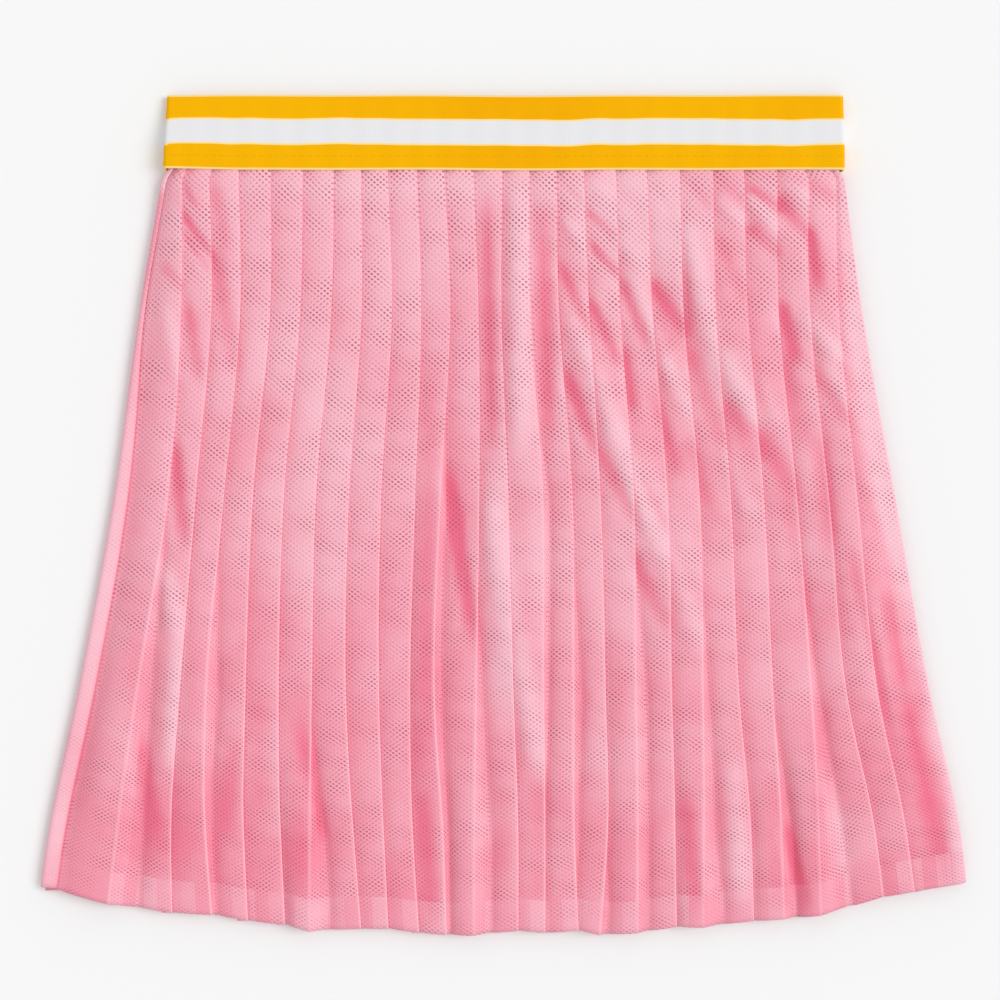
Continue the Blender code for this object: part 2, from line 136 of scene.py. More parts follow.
# Where each outer crease lies across the skirt at six heights, how far the cloth laps back under it
# (or, if negative, stands open beside it) at four, and where its hem ends.
Pleat = namedtuple("Pleat", "waist hip mid low flare hem lap_mid lap_low lap_flare lap_hem hem_y")
STATIONS = np.array([171, 107, 7, -88, -163, -195.0])
LAP_WAIST = 5.5
LAP_HIP = 5.5
LEFT_OUTLINE = Pleat(-170.5, -181.5, -195.5, -213, -228.5, -233, 0, 0, 0, 0, -187)
LEFT_CREASE = Pleat(-167.5, -177.5, -187.5, -204, -219.5, -224, 6, 6, 6, 6, -188)
FRONT_PLEATS = (
    Pleat(-160, -160, -167, -182, -192.5, -196.5, 1.5, -6.5, -12, -14, -194.5),
    Pleat(-146, -145, -153, -160.5, -165.5, -165, 6, 6, 5, 5, -199),
    Pleat(-131.5, -130.5, -139, -147.5, -148, -145.5, 3, -5, -2.5, -1.5, -200),
    Pleat(-115.5, -115.5, -124.5, -128, -129, -127.5, 6, 6, 5, 5, -203),
    Pleat(-99.5, -100.5, -109, -111.5, -110.5, -109, 6, 6, 5, 4, -205),
    Pleat(-84, -85, -93, -95, -96, -96, 6, 3, -7, -9, -208),
    Pleat(-70.5, -70, -76.5, -78, -74, -71.5, 6, 6, 5, 5, -207),
    Pleat(-57, -55, -60.5, -61.5, -59, -57.5, 6, 6, 5, 5, -207),
    Pleat(-42.5, -40.5, -43.5, -46, -44.5, -42.5, 6, 6, 4, 3, -209),
    Pleat(-29, -26, -31, -34, -29.5, -28.5, -2.5, -3, -2, -1.5, -210),
    Pleat(-14.5, -12, -11.5, -13, -14, -14, 4, -2.5, -8, -8, -210),
    Pleat(0, -0.5, 3, 5.5, 8, 8, 6, 6, 5, 5, -208),
    Pleat(13.5, 14, 20, 20.5, 21.5, 21.5, -2.5, -2, 1.5, 4, -209),
    Pleat(27, 28, 35, 35.5, 36, 37.5, 3, -3.5, -1.5, 1.5, -208),
    Pleat(40.5, 43, 49, 51.5, 52.5, 50, 6, 4, 1.5, -2.5, -210),
    Pleat(56.5, 58.5, 65.5, 66.5, 67.5, 67.5, 3, -5, -5, -5, -209),
    Pleat(72, 74.5, 82.5, 84.5, 86.5, 87, 5, 5, 5, 5, -206),
    Pleat(88.5, 90, 98.5, 100, 100.5, 100.5, 4, -2.5, -6, -9.5, -206),
    Pleat(105, 106, 114, 118, 124.5, 125.5, 6, 6, 5, 4, -203),
    Pleat(120.5, 122, 130.5, 135, 139.5, 140.5, 6, 2, -5.5, -6, -202),
    Pleat(137, 137.5, 147, 154, 158, 159, 4, -3, -12, -15.5, -200),
    Pleat(152.5, 153, 163, 171.5, 187, 191, 6, 6, 5, 5, -191),
    Pleat(166.5, 167.5, 177, 187, 202.5, 207, 6, 6, 5, 5, -188.5),
    Pleat(170.5, 179, 196.5, 213.5, 229.5, 233, 0, 0, 0, 0, -182),
)

# Soft folds of the drape, across the pleats: both ends of each, from its crest or bottom to its foot,
# and its height, or its depth where it is negative.
Drape = namedtuple("Drape", "x_top y_top x_bottom y_bottom width height")
RIDGES = (
    Drape(5, 140, 8, 15, 22, 1.4),
    Drape(-6, 0, 16, -95, 22, 1.4),
    Drape(29, 104, 96, -65, 28, 1.9),
    Drape(90, 140, 128, 47, 24, 1.6),
    Drape(-172, -23, -160, -110, 22, 1.0),
    Drape(170, 10, 184, -95, 24, 1.6),
)
CREASES = (
    # the middle
    Drape(-9, 158, -6, 36, 5, -1.1),
    Drape(8, 165, 8, 40, 8, 1.0),
    Drape(19, 150, 22, 36, 7, -1.3),
    Drape(-28, 20, -16, -62, 6, -2.0),
    Drape(-37, 70, -39, -100, 7, -0.9),
    Drape(-8, 10, 4, -60, 9, 1.3),
    Drape(4, -60, 17, -128, 10, 1.3),
    # the right, from upper left to lower right
    Drape(28, 125, 43, 89, 5, -1.5),
    Drape(31, 72, 46, 28, 6, -1.9),
    Drape(48, 32, 64, -4, 6, -1.1),
    Drape(42, 136, 57, 118, 4, -1.6),
    Drape(42, 109, 57, 74, 5, -1.7),
    Drape(58, 118, 71, 84, 5, -1.4),
    Drape(60, 84, 64, 52, 5, -1.2),
    Drape(67, 20, 80, -8, 5, -1.1),
    Drape(73, 117, 90, 90, 6, -1.5),
    Drape(90, 132, 93, 90, 4, -0.9),
    Drape(93, 82, 109, 34, 7, -1.1),
    Drape(106, 142, 120, 104, 6, -0.8),
    Drape(110, 58, 127, 26, 8, -1.1),
    Drape(125, 45, 145, 9, 8, -1.2),
    Drape(138, 106, 146, 76, 6, -1.9),
    Drape(139, 82, 151, 34, 8, -0.8),
    Drape(152, 143, 157, 112, 6, -1.6),
    Drape(155, 76, 170, 46, 7, -0.9),
    Drape(157, 36, 163, -18, 7, -0.8),
    Drape(62, -16, 82, -58, 7, -1.2),
    Drape(36, 94, 56, 40, 8, 1.2),
    Drape(53, 46, 67, 10, 8, 1.3),
    Drape(64, 14, 82, -24, 8, 1.2),
    Drape(80, -18, 98, -66, 8, 0.9),
    Drape(62, 124, 84, 66, 6, 0.9),
    Drape(79, 78, 93, 48, 6, 0.8),
    Drape(90, 146, 106, 78, 8, 1.2),
    Drape(106, 82, 128, 42, 8, 1.2),
    Drape(150, 100, 168, 76, 7, 1.3),
    Drape(157, 78, 176, 48, 7, 1.0),
    Drape(180, 24, 200, -24, 8, 1.0),
    Drape(28, 150, 42, 132, 4, 0.8),
    Drape(42, 170, 52, 158, 5, 0.8),
    Drape(57, 140, 72, 118, 6, 0.8),
    Drape(73, 60, 88, 20, 6, -0.8),
    Drape(89, 40, 104, 0, 7, -0.7),
    Drape(109, 36, 124, -4, 7, 0.7),
    Drape(127, 70, 138, 40, 6, 0.6),
    Drape(141, 8, 150, -50, 7, -0.7),
    # puckers under the band
    Drape(28, 168, 39, 155, 3, -0.9),
    Drape(46, 168, 56, 161, 3, -0.9),
    Drape(41, 152, 55, 138, 4, -1.2),
    Drape(57, 169, 72, 141, 7, -0.9),
    Drape(73, 168, 84, 150, 3, -0.6),
    Drape(90, 170, 102, 152, 4, -0.7),
    Drape(106, 169, 119, 156, 4, -0.7),
    Drape(120, 165, 137, 152, 4, -1.7),
    Drape(121, 145, 137, 129, 6, -1.4),
    Drape(136, 159, 152, 137, 6, -1.7),
    Drape(151, 170, 166, 156, 7, -1.2),
    Drape(105, 158, 121, 144, 5, 0.9),
    Drape(121, 158, 138, 141, 5, 1.2),
    Drape(137, 169, 152, 156, 5, 1.0),
    Drape(-161, 169, -154, 153, 3, -0.9),
    Drape(-161, 151, -145, 127, 4, -1.7),
    Drape(-160, 141, -147, 121, 3, -1.0),
    Drape(-171, 125, -161, 113, 5, -1.0),
    Drape(-158, 107, -152, 66, 5, -1.0),
    # down the right side
    Drape(172, -18, 191, -104, 5, -1.0),
    Drape(190, -38, 199, -88, 6, -1.2),
    Drape(200, -92, 212, -144, 7, -1.3),
    Drape(209, -138, 222, -180, 9, -1.2),
    Drape(140, -155, 150, -196, 6, -1.8),
    Drape(160, -130, 172, -184, 8, 0.8),
    Drape(112, -118, 118, -190, 9, 1.0),
    Drape(90, -140, 96, -200, 7, -1.3),
    # the left
    Drape(-164, 36, -160, -16, 6, -1.6),
    Drape(-145, 172, -138, 128, 6, -0.7),
    Drape(-144, 132, -134, 68, 7, -1.0),
    Drape(-169, 106, -161, 66, 6, 0.9),
    Drape(-171, -22, -162, -62, 8, 1.4),
    Drape(-162, -62, -167, -128, 8, 1.3),
    Drape(-183, -110, -175, -160, 8, -1.3),
    Drape(-134, -110, -140, -160, 8, -1.1),
    Drape(-101, -108, -92, -160, 7, -1.5),
    Drape(-41, -140, -35, -206, 7, -1.1),
)
# Broad swells and hollows, placed in the same way, which paint light and shade on the mesh more than they
# lift it.
SWELLS = (
    # across the top, and down the left half
    Drape(-125, 164, 98, 164, 16, 0.7),
    Drape(-100, 150, -95, 80, 42, 0.2),
    Drape(-92, 74, -75, -44, 42, 0.7),
    Drape(-183, -35, -181, -112, 12, -0.8),
    Drape(-190, -150, -85, -176, 45, -0.55),
    Drape(-121, -90, -121, -150, 9, -0.8),
    Drape(-101, -84, -100, -196, 12, -0.9),
    # the middle
    Drape(-27, 72, -21, -44, 13, -0.8),
    Drape(-38, -20, -42, -200, 12, -0.6),
    Drape(-7, 152, -6, 20, 9, -0.7),
    Drape(7, 166, 8, 30, 7, 0.7),
    Drape(-2, 30, 0, -100, 13, 1.1),
    Drape(16, 26, 20, -44, 10, 0.7),
    Drape(20, 132, 24, 30, 7, -0.6),
    Drape(18, -130, 18, -195, 9, -1.0),
    Drape(0, -136, 0, -180, 8, -0.7),
    Drape(38, -80, 38, -120, 8, -0.5),
    Drape(58, -62, 58, -120, 8, -0.5),
    # the right half
    Drape(42, 166, 96, 128, 22, 0.9),
    Drape(62, 170, 112, 140, 14, 0.6),
    Drape(76, 112, 98, 74, 12, -0.9),
    Drape(78, 92, 80, -12, 9, -0.5),
    Drape(98, -80, 98, -136, 8, -0.5),
    Drape(114, 82, 122, 52, 12, 0.8),
    Drape(56, 44, 100, -34, 12, 0.8),
    Drape(138, 84, 142, -22, 12, -0.5),
    Drape(158, 46, 162, -22, 10, -0.9),
    Drape(118, -28, 120, -122, 10, -0.4),
    Drape(158, -86, 158, -192, 10, -0.8),
    Drape(138, -130, 138, -196, 11, -0.9),
    Drape(118, -150, 119, -196, 9, 0.8),
    Drape(176, 100, 184, 50, 8, 0.8),
    Drape(36, 150, 42, 122, 8, 0.9),
    # the pale side on the right, painted light
    Drape(173, 178, 178, 100, 12, 2.2),
    Drape(177, 106, 190, 20, 13, 2.2),
    Drape(191, 26, 208, -50, 12, 2.6),
    Drape(209, -50, 224, -128, 9, 2.8),
    Drape(223, -112, 230, -200, 6, 2.8),
)


def ease(share):
    """0 below 0, 1 above 1, and between them 3 s^2 - 2 s^3."""
    share = np.clip(share, 0.0, 1.0)
    return share * share * (3 - 2 * share)


def at_heights(values, y):
    """A smooth curve through the values at STATIONS, read at heights y.

    values has one row for each pleat, and y is (rows, pleats, columns). Between two stations the curve
    is the cubic with their values and with the slopes of the line through each station's neighbours.
    """
    down = -STATIONS
    slopes = np.gradient(values, down, axis=1)
    depth = -y
    k = np.clip(np.searchsorted(down, depth) - 1, 0, len(down) - 2)
    pleat = np.arange(values.shape[0])[None, :, None]
    step = down[k + 1] - down[k]
    t = (depth - down[k]) / step
    held = np.clip(t, 0, 1)
    start, end = values[pleat, k], values[pleat, k + 1]
    start_slope, end_slope = slopes[pleat, k] * step, slopes[pleat, k + 1] * step
    curve = (
        start * (1 + 2 * held) * (1 - held) ** 2
        + end * held**2 * (3 - 2 * held)
        + start_slope * held * (1 - held) ** 2
        - end_slope * held**2 * (1 - held)
    )
    return curve + np.where(t < 0, start_slope, end_slope) * (t - held)


def creases_at(pleats, y):
    """Where the creases lie at heights y. The outer ones are drawn in a little inside the band."""
    places = np.array([p[:6] for p in pleats], float)
    x = at_heights(places, y)
    outer = ease((np.abs(x) - TUCK_STARTS) / (BAND_HALF - TUCK_STARTS))
    return x - np.sign(x) * TUCK * outer * (1 - ease((BAND_BOTTOM - y) / TUCK_LENGTH))


def laps_at(pleats, y):
    """How far each pleat laps under at heights y, or stands open if negative: straight between stations."""
    laps = np.array([(LAP_WAIST, LAP_HIP, *p[6:10]) for p in pleats], float)
    down = -STATIONS
    depth = np.clip(-y, down[0], down[-1])
    k = np.clip(np.searchsorted(down, depth) - 1, 0, len(down) - 2)
    pleat = np.arange(laps.shape[0])[None, :, None]
    t = (depth - down[k]) / (down[k + 1] - down[k])
    return laps[pleat, k] * (1 - t) + laps[pleat, k + 1] * t


END_RATE = 3.0  # how quickly a fold grows from its end, so that it is whole a fifth of its length in
END_START = 0.4  # how far grown it is at its very end


def relief(x, y, drapes):
    """The drape's height at (x, y): a bell across each fold's line, dying away at both its ends.

    The bell is ease(1 - distance / width), and at the share s of the length from either end it is
    lowered by ease(END_RATE s + END_START).
    """
    height = np.zeros_like(x)
    for fold in drapes:
        run = np.array([fold.x_bottom - fold.x_top, fold.y_bottom - fold.y_top])
        length = np.hypot(*run)
        dx = x - fold.x_top
        dy = y - fold.y_top
        along = (dx * run[0] + dy * run[1]) / length**2
        across = np.abs(dx * run[1] - dy * run[0]) / length
        ends = ease(END_RATE * along + END_START) * ease(END_RATE * (1 - along) + END_START)
        height += fold.height * ease(1 - across / fold.width) * ends
    return height


def back_rise(y):
    """The height of the back's underside: the elastic's inside the band, the table's below it."""
    return (ELASTIC + GAP) * np.clip((y - BAND_EASE_END) / (BAND_BOTTOM - BAND_EASE_END), 0, 1)


def side_edges(y):
    """Where the front's left strip and its right side lie at heights y, shaped like y."""
    edges = creases_at((LEFT_CREASE, FRONT_PLEATS[-1]), np.repeat(y.reshape(-1, 1, 1), 2, axis=1))
    return edges[:, 0, 0].reshape(y.shape), edges[:, 1, 0].reshape(y.shape)


def front_rise(x, y):
    """The height of the front's underside: on the back, and on the shorts inside their edges."""
    left, right = side_edges(y)
    inside = ease((x - left) / LEFT_EASE) * ease((right - x) / RIGHT_EASE)
    under_top = np.clip((BAND_BOTTOM - y) / (BAND_BOTTOM - SHORTS_TOP), 0, 1)
    above_hem = np.clip((y - SHORTS_EASE_END) / (SHORTS_EASE_START - SHORTS_EASE_END), 0, 1)
    over_shorts = 2 * (WALL + GAP) * under_top * above_hem * inside
    return back_rise(y) + PLEATED + GAP + over_shorts + relief(x, y, RIDGES) * inside


def hem_height(x):
    """The height of the front's hem at x, straight between the pleats."""
    pleats = (LEFT_OUTLINE, LEFT_CREASE, *FRONT_PLEATS)
    return np.interp(x, [p.hem for p in pleats], [p.hem_y for p in pleats])


def column_heights(hem_y, rows):
    """Heights down each column: even steps, straight across at the top and curved to hem_y below.

    With t from 0 to 1 down the cloth, y = top + t (level - top) + t^3 (hem_y - level).
    """
    t = np.linspace(0, 1, rows)[:, None]
    return SKIRT_TOP + t * (HEM_LEVEL - SKIRT_TOP) + t**3 * (hem_y[None, :] - HEM_LEVEL)


FRONT_ROWS = 124
FACE_AT = np.array([0.0, 0.1, 0.24, 0.45, 0.7, 0.88, 0.975])  # columns across a face, as shares of it
FOLD_TURN = np.radians([90, 45, 5, -40, -90])  # columns round a crease
LAP_TURN = np.radians([90, 180, 270])  # columns round the end of a lap
LIFT_SHARE = 0.25  # a crease rises by this share of how far its pleat stands open
LIFT_MOST = 2.2
OPEN_LEAST = 1.5  # a pleat is partly open where it laps, or stands open, by less than this
CROWN_POWER = 3.2  # how quickly a face rises to its full height
FACE_CROWN_AT = 0.4  # where across its face a pleat is high enough for a lap to fit under it
LAP_CLEAR = 2.5  # a lap ends at least so far short of that place
LAP_SIDE_SHARE = 0.1  # and is no more than this share of the distance to either side
LAP_RISE = PLEATED - WALL - 4 * THIN_FOLD  # how high a closed pleat's lap lies on the cloth under it
OPEN_POWER = 1.3  # an open pleat falls steeply beside its crease, and runs out more and more flatly
FIRST_LOWER = 0.5  # the first pleat lies lower than the others
FIRST_UNDER_STRIP = 1.2  # its height under the strip on the left
FIRST_STARTS = 0.6  # and starts this share of the way up, level with the strip beside it


def front_columns():
    """The front's midline in columns, left to right: places x across, y up the skirt, and heights z.

    For each pleat, a face rises from the fold before it by 1 - (1 - s)^CROWN_POWER, turns round its
    crease in a half circle, laps back, turns down again and runs on. Where the pleat stands open, the
    cloth falls from the crease in an S instead. Both are worked out and blended by how open it is. Each
    column's hem is as high as the hem's line at the place where that column ends. The first pleat starts
    level with the strip on its left and lies a little lower than the others.
    """
    inner = FRONT_PLEATS[:-1]
    count = len(inner)
    columns = len(FACE_AT) + len(FOLD_TURN) + len(LAP_TURN)
    ends = np.array([(p.hem, max(-p.lap_hem, 0.0)) for p in (LEFT_CREASE, *inner)])
    faces_hem = ends[:-1].sum(axis=1)[:, None] * (1 - FACE_AT) + ends[1:, :1] * FACE_AT
    past_hem = ends[1:, :1] + ends[1:, 1:] * np.linspace(0, 1, columns - len(FACE_AT)) ** OPEN_POWER
    hem_y = hem_height(np.concatenate([faces_hem, past_hem], axis=1))
    y = column_heights(hem_y.ravel(), FRONT_ROWS).reshape(FRONT_ROWS, count, columns)

    crease = creases_at(inner, y) - WALL / 2
    lap = laps_at(inner, y)
    open_by = np.maximum(-lap, 0)
    before_crease = creases_at((LEFT_CREASE, *inner[:-1]), y)
    moved_on = np.zeros_like(y)  # from the crease before to where the cloth beside it comes down
    moved_on[:, 1:] = np.maximum(-laps_at(inner[:-1], y[:, 1:]), 0) - WALL / 2
    start = before_crease + moved_on + PLEAT_EMERGES
    left, right = side_edges(y)
    room = (1 - FACE_CROWN_AT) * (crease - start) - LAP_CLEAR
    room = np.minimum(room, LAP_SIDE_SHARE * np.minimum(crease - left, right - crease))
    lap = np.minimum(lap, np.maximum(room, OPEN_LEAST))
    lift = np.minimum(LIFT_SHARE * open_by, LIFT_MOST)

    high = PLEATED - WALL / 2 + lift
    shut = ease((lap + OPEN_LEAST) / (2 * OPEN_LEAST))
    low = WALL / 2 + LAP_RISE * shut
    high[:, 0] -= FIRST_LOWER
    before_shut = np.concatenate([np.full_like(y[:, :1], FIRST_STARTS), shut[:, :-1]], axis=1)
    start_low = WALL / 2 + LAP_RISE * before_shut
    face = slice(0, len(FACE_AT))
    fold = slice(len(FACE_AT), len(FACE_AT) + len(FOLD_TURN))
    turn = slice(len(FACE_AT) + len(FOLD_TURN), columns)
    x = np.zeros_like(y)
    z = np.zeros_like(y)
    x[..., face] = start[..., face] + (crease - THIN_FOLD - start)[..., face] * FACE_AT
    z[..., face] = high[..., face] - (high - start_low)[..., face] * (1 - FACE_AT) ** CROWN_POWER
    closed_x = crease[..., fold] + THIN_FOLD * (np.cos(FOLD_TURN) - 1)
    closed_z = high[..., fold] + THIN_FOLD * (np.sin(FOLD_TURN) - 1)
    end_x = (crease - np.maximum(lap, OPEN_LEAST))[..., turn] + THIN_FOLD * (1 + np.cos(LAP_TURN))
    end_z = low[..., turn] + THIN_FOLD * (1 + np.sin(LAP_TURN))
    end_x[..., -1] += THIN_FOLD
    fall = np.linspace(0, 1, len(FOLD_TURN) + len(LAP_TURN))
    across = np.maximum(-lap, OPEN_LEAST)
    past = slice(len(FACE_AT), columns)
    open_x = crease[..., past] - THIN_FOLD * (1 - ease(4 * fall)) + across[..., past] * fall**OPEN_POWER
    open_z = low[..., past] + (high - low)[..., past] * (1 - ease(fall))
    x[..., past] = open_x + (np.concatenate([closed_x, end_x], axis=2) - open_x) * shut[..., past]
    z[..., past] = open_z + (np.concatenate([closed_z, end_z], axis=2) - open_z) * shut[..., past]
    return x, y, z


# The last face and the turned right side: columns as shares of the face, and their heights as shares.
LAST_AT = np.array([0, 0.08, 0.2, 0.35, 0.5, 0.65, 0.8, 0.92, 0.98, 1.0, 1.0, 1.0])
LAST_RISE = np.array([0.78, 0.86, 0.93, 0.96, 0.99, 1.0, 1.0, 0.97, 0.86, 0.66, 0.36, 0.0])
LAST_LOWER = 0.4  # the last face lies so much lower than the others
FIRST_RUN = -22.0  # the first column's place on the cloth
CREASE_AT = 0.3  # the pale line on a crease, pressed shut and partly a painted highlight, from where the fold starts, and how wide it is
CREASE_WIDE = 0.45
FOLD_PAINTED_SHADE = 0.28  # painted light and shade: how much paler the mesh is painted for each millimetre of a fold's height
SLOPE_PAINTED_SHADE = 0.2  # painted shade: how much deeper it is painted where it rises to the right, away from the light, by a millimetre in two
SWELL_PAINTED_SHADE = 0.22  # painted light and shade for each millimetre of a swell
FACE_PAINTED_SHADE = 0.15  # and how much paler it is painted towards a face's crease and deeper where the face starts: painted light and shade
SWELL_LIFT = 0.5  # how much of a swell's height really lifts the cloth
HOLLOW_SHARE = 0.6  # and of a hollow's depth
SIDE_HOLD = 0.35  # the least share of a fold's height that is kept at the sides


def running(steps):
    """The running sum of steps along the last axis, with a 0 before it."""
    return np.concatenate([np.zeros((*steps.shape[:-1], 1)), np.cumsum(steps, axis=-1)], axis=-1)


def below_band(y):
    """0 inside the band and 1 from a little below it, where the finer folds start."""
    return ease((SHORTS_TOP + 6 - y) / 12)


def front_grid():
    """Points (rows, columns, 3) in millimetres of the front's middle, its cloth coordinates and marks.

    Its folds are painted with light and shade: a hollow's painted shade is deepest where a face starts, and
    a ridge's painted light is palest at its crease. In height a hollow is shallower where the cloth lies
    low, so that it keeps clear of what is under it.
    """
    x, y, z = front_columns()
    rows, count = x.shape[:2]
    run = running(np.hypot(np.diff(x, axis=2), np.diff(z, axis=2)))
    run -= run[..., len(FACE_AT) : len(FACE_AT) + 1]
    pressed_and_lit_crease = np.exp(-(((run - CREASE_AT) / CREASE_WIDE) ** 2))
    across_face = np.concatenate([FACE_AT, np.ones(len(FOLD_TURN)), np.full(len(LAP_TURN), 0.5)])
    across_face = np.broadcast_to(across_face, run.shape).reshape(rows, -1)
    pleat_mark = np.broadcast_to(np.arange(count)[None, :, None], run.shape)

    # the last face, round the right side and down
    last_hem = np.linspace(FRONT_PLEATS[-2].hem_y, FRONT_PLEATS[-1].hem_y, len(LAST_AT))
    last_y = column_heights(last_hem, FRONT_ROWS)
    edge = side_edges(last_y)[1] - WALL / 2
    start = creases_at(FRONT_PLEATS[-2:-1], last_y[:, None, :])[:, 0] - WALL / 2 + PLEAT_EMERGES
    last_x = start + (edge - start) * LAST_AT
    last_z = np.broadcast_to(WALL / 2 + (PLEATED - WALL - LAST_LOWER) * LAST_RISE, last_x.shape)
    last_run = running(np.hypot(np.diff(last_x, axis=1), np.diff(last_z, axis=1)))
    last_run -= last_run[:, [np.argmax(LAST_AT)]]

    # the first column, from under the left strip
    first_y = column_heights(np.array([LEFT_CREASE.hem_y], float), FRONT_ROWS)
    strip = creases_at((LEFT_OUTLINE,), first_y[:, None, :])[:, 0] + 1.5 * WALL + GAP
    first_x = np.maximum(side_edges(first_y)[0] - LEFT_CREASE.lap_hem, strip)

    def joined(first, middle, last):
        """The first column, the pleats' columns and the last ones, side by side."""
        first = np.broadcast_to(first, (rows, 1))
        last = np.broadcast_to(last, last_x.shape)
        return np.concatenate([first, middle.reshape(rows, -1), last], axis=1)

    all_x = joined(first_x, x, last_x)
    all_y = joined(first_y, y, last_y)
    all_z = joined(FIRST_UNDER_STRIP, z, last_z)
    across_face = joined(0.5, across_face, LAST_AT)
    share = np.clip((all_z - WALL / 2) / (PLEATED - WALL), 0, 1)
    left, right = side_edges(all_y)
    inside = ease((all_x - left) / LEFT_EASE) * ease((right - all_x) / RIGHT_EASE)
    below = below_band(all_y)
    drape = relief(all_x, all_y, CREASES) * below
    slope = (relief(all_x + 1, all_y, CREASES) - relief(all_x - 1, all_y, CREASES)) * below
    swell = relief(all_x, all_y, SWELLS)
    hollow = np.minimum(drape, 0)
    ridge = np.maximum(drape, 0)
    # painted light and shade: deeper in hollows, paler on ridges and towards each crease, deeper where a
    # fold rises to the right away from the light, and by the swells
    painted_fold_shade = hollow * (1.3 - 0.85 * across_face) + ridge * (0.5 + 0.6 * across_face)
    painted_shading = FOLD_PAINTED_SHADE * painted_fold_shade - SLOPE_PAINTED_SHADE * slope + SWELL_PAINTED_SHADE * swell + FACE_PAINTED_SHADE * (across_face - 0.6)
    lifted = hollow * (0.35 + 0.65 * share) * HOLLOW_SHARE + ridge + SWELL_LIFT * swell * below
    edge_hold = np.maximum(inside, SIDE_HOLD * (share > 0.3))
    all_z = all_z + front_rise(all_x, all_y) + lifted * edge_hold

    cloth_x = joined(FIRST_RUN, run, last_run)
    # the pale line on each crease, partly a painted highlight, and a fainter one round the right side's
    # turn
    crease = joined(0.0, pressed_and_lit_crease, 0.6 * np.exp(-(last_run**2)))
    pleat = joined(0.0, pleat_mark, count)
    return np.stack([all_x, all_y, all_z], axis=2), cloth_x, crease, pleat, painted_shading


def cloth_mesh(name, points, cloth_u, cloth_v, marks, wall):
    """A panel of cloth: a grid of points in millimetres, thickened to wall about its middle.

    cloth_u and cloth_v are the UV map's two coordinates, in millimetres of cloth. cloth_u is a pair,
    for the left and the right side of each strip of faces, so that the knit can start anew at a hidden
    fold. marks are named numbers at the points.
    """

    def face_corners(left, right):
        """Each face's four corners: down its left side and up its right side."""
        return np.stack([left[:-1, :-1], left[1:, :-1], right[1:, 1:], right[:-1, 1:]], axis=2)

    index = np.arange(points[..., 0].size).reshape(points.shape[:2])
    quads = face_corners(index, index).reshape(-1, 4)
    mesh = bpy.data.meshes.new(name)
    mesh.from_pydata((points.reshape(-1, 3) * MILLIMETRE).tolist(), [], quads.tolist())
    corners = np.stack([face_corners(*cloth_u), face_corners(cloth_v, cloth_v)], axis=3)
    uv = mesh.uv_layers.new(name="cloth")
    uv.data.foreach_set("uv", (corners * MILLIMETRE).ravel())
    for mark, values in marks.items():
        layer = mesh.attributes.new(mark, "FLOAT", "POINT")
        layer.data.foreach_set("value", np.ascontiguousarray(values, dtype=np.float32).ravel())
    mesh.shade_smooth()
    piece = bpy.data.objects.new(name, mesh)
    bpy.context.scene.collection.objects.link(piece)
    thicken = piece.modifiers.new("cloth_thickness", "SOLIDIFY")
    thicken.thickness = wall * MILLIMETRE
    thicken.offset = 0.0
    return piece


def node(tree, kind, *inputs, **settings):
    """Adds a shader node, sets its settings, and links or sets its inputs in order. None skips one."""
    made = tree.nodes.new(kind)
    for setting, value in settings.items():
        setattr(made, setting, value)
    for socket, value in zip(made.inputs, inputs):
        if isinstance(value, bpy.types.NodeSocket):
            tree.links.new(value, socket)
        elif value is not None:
            socket.default_value = value
    return made


def maths(tree, operation, *inputs):
    """A Math node's result."""
    return node(tree, "ShaderNodeMath", *inputs, operation=operation).outputs[0]


def smooth_step(tree, value, low, high):
    """0 where value is below low, 1 where it is above high, and a smooth step between."""
    made = node(tree, "ShaderNodeMapRange", value, low, high, 0.0, 1.0, interpolation_type="SMOOTHSTEP")
    return made.outputs["Result"]


def centred(tree, value, span):
    """A value between 0 and 1, moved and scaled to lie between -span / 2 and span / 2."""
    return maths(tree, "MULTIPLY_ADD", value, span, -span / 2)


def noise(tree, place, scale, detail):
    """A noise texture's value at a place."""
    return node(tree, "ShaderNodeTexNoise", place, None, scale, detail).outputs["Fac"]


def bumped(tree, shader, height, strength, distance):
    """Bumps the shader's normal by a height, by up to distance metres."""
    bump = node(tree, "ShaderNodeBump")
    bump.inputs["Strength"].default_value = strength
    bump.inputs["Distance"].default_value = distance
    tree.links.new(height, bump.inputs["Height"])
    tree.links.new(bump.outputs["Normal"], shader.inputs["Normal"])


def mixed(tree, share, low, high, blend="MIX"):
    """Two colours mixed by a share."""
    made = node(tree, "ShaderNodeMix", data_type="RGBA", blend_type=blend)
    for socket, value in zip((made.inputs[0], made.inputs[6], made.inputs[7]), (share, low, high)):
        if isinstance(value, bpy.types.NodeSocket):
            tree.links.new(value, socket)
        else:
            socket.default_value = value
    return made.outputs[2]


def group(name, inputs, outputs):
    """An empty shader node group with named number and vector sockets, and its two ends."""
    tree = bpy.data.node_groups.new(name, "ShaderNodeTree")
    for socket, (kind, default) in inputs.items():
        made = tree.interface.new_socket(socket, in_out="INPUT", socket_type=kind)
        if default is not None:
            made.default_value = default
    for socket, kind in outputs.items():
        tree.interface.new_socket(socket, in_out="OUTPUT", socket_type=kind)
    return tree, tree.nodes.new("NodeGroupInput"), tree.nodes.new("NodeGroupOutput")


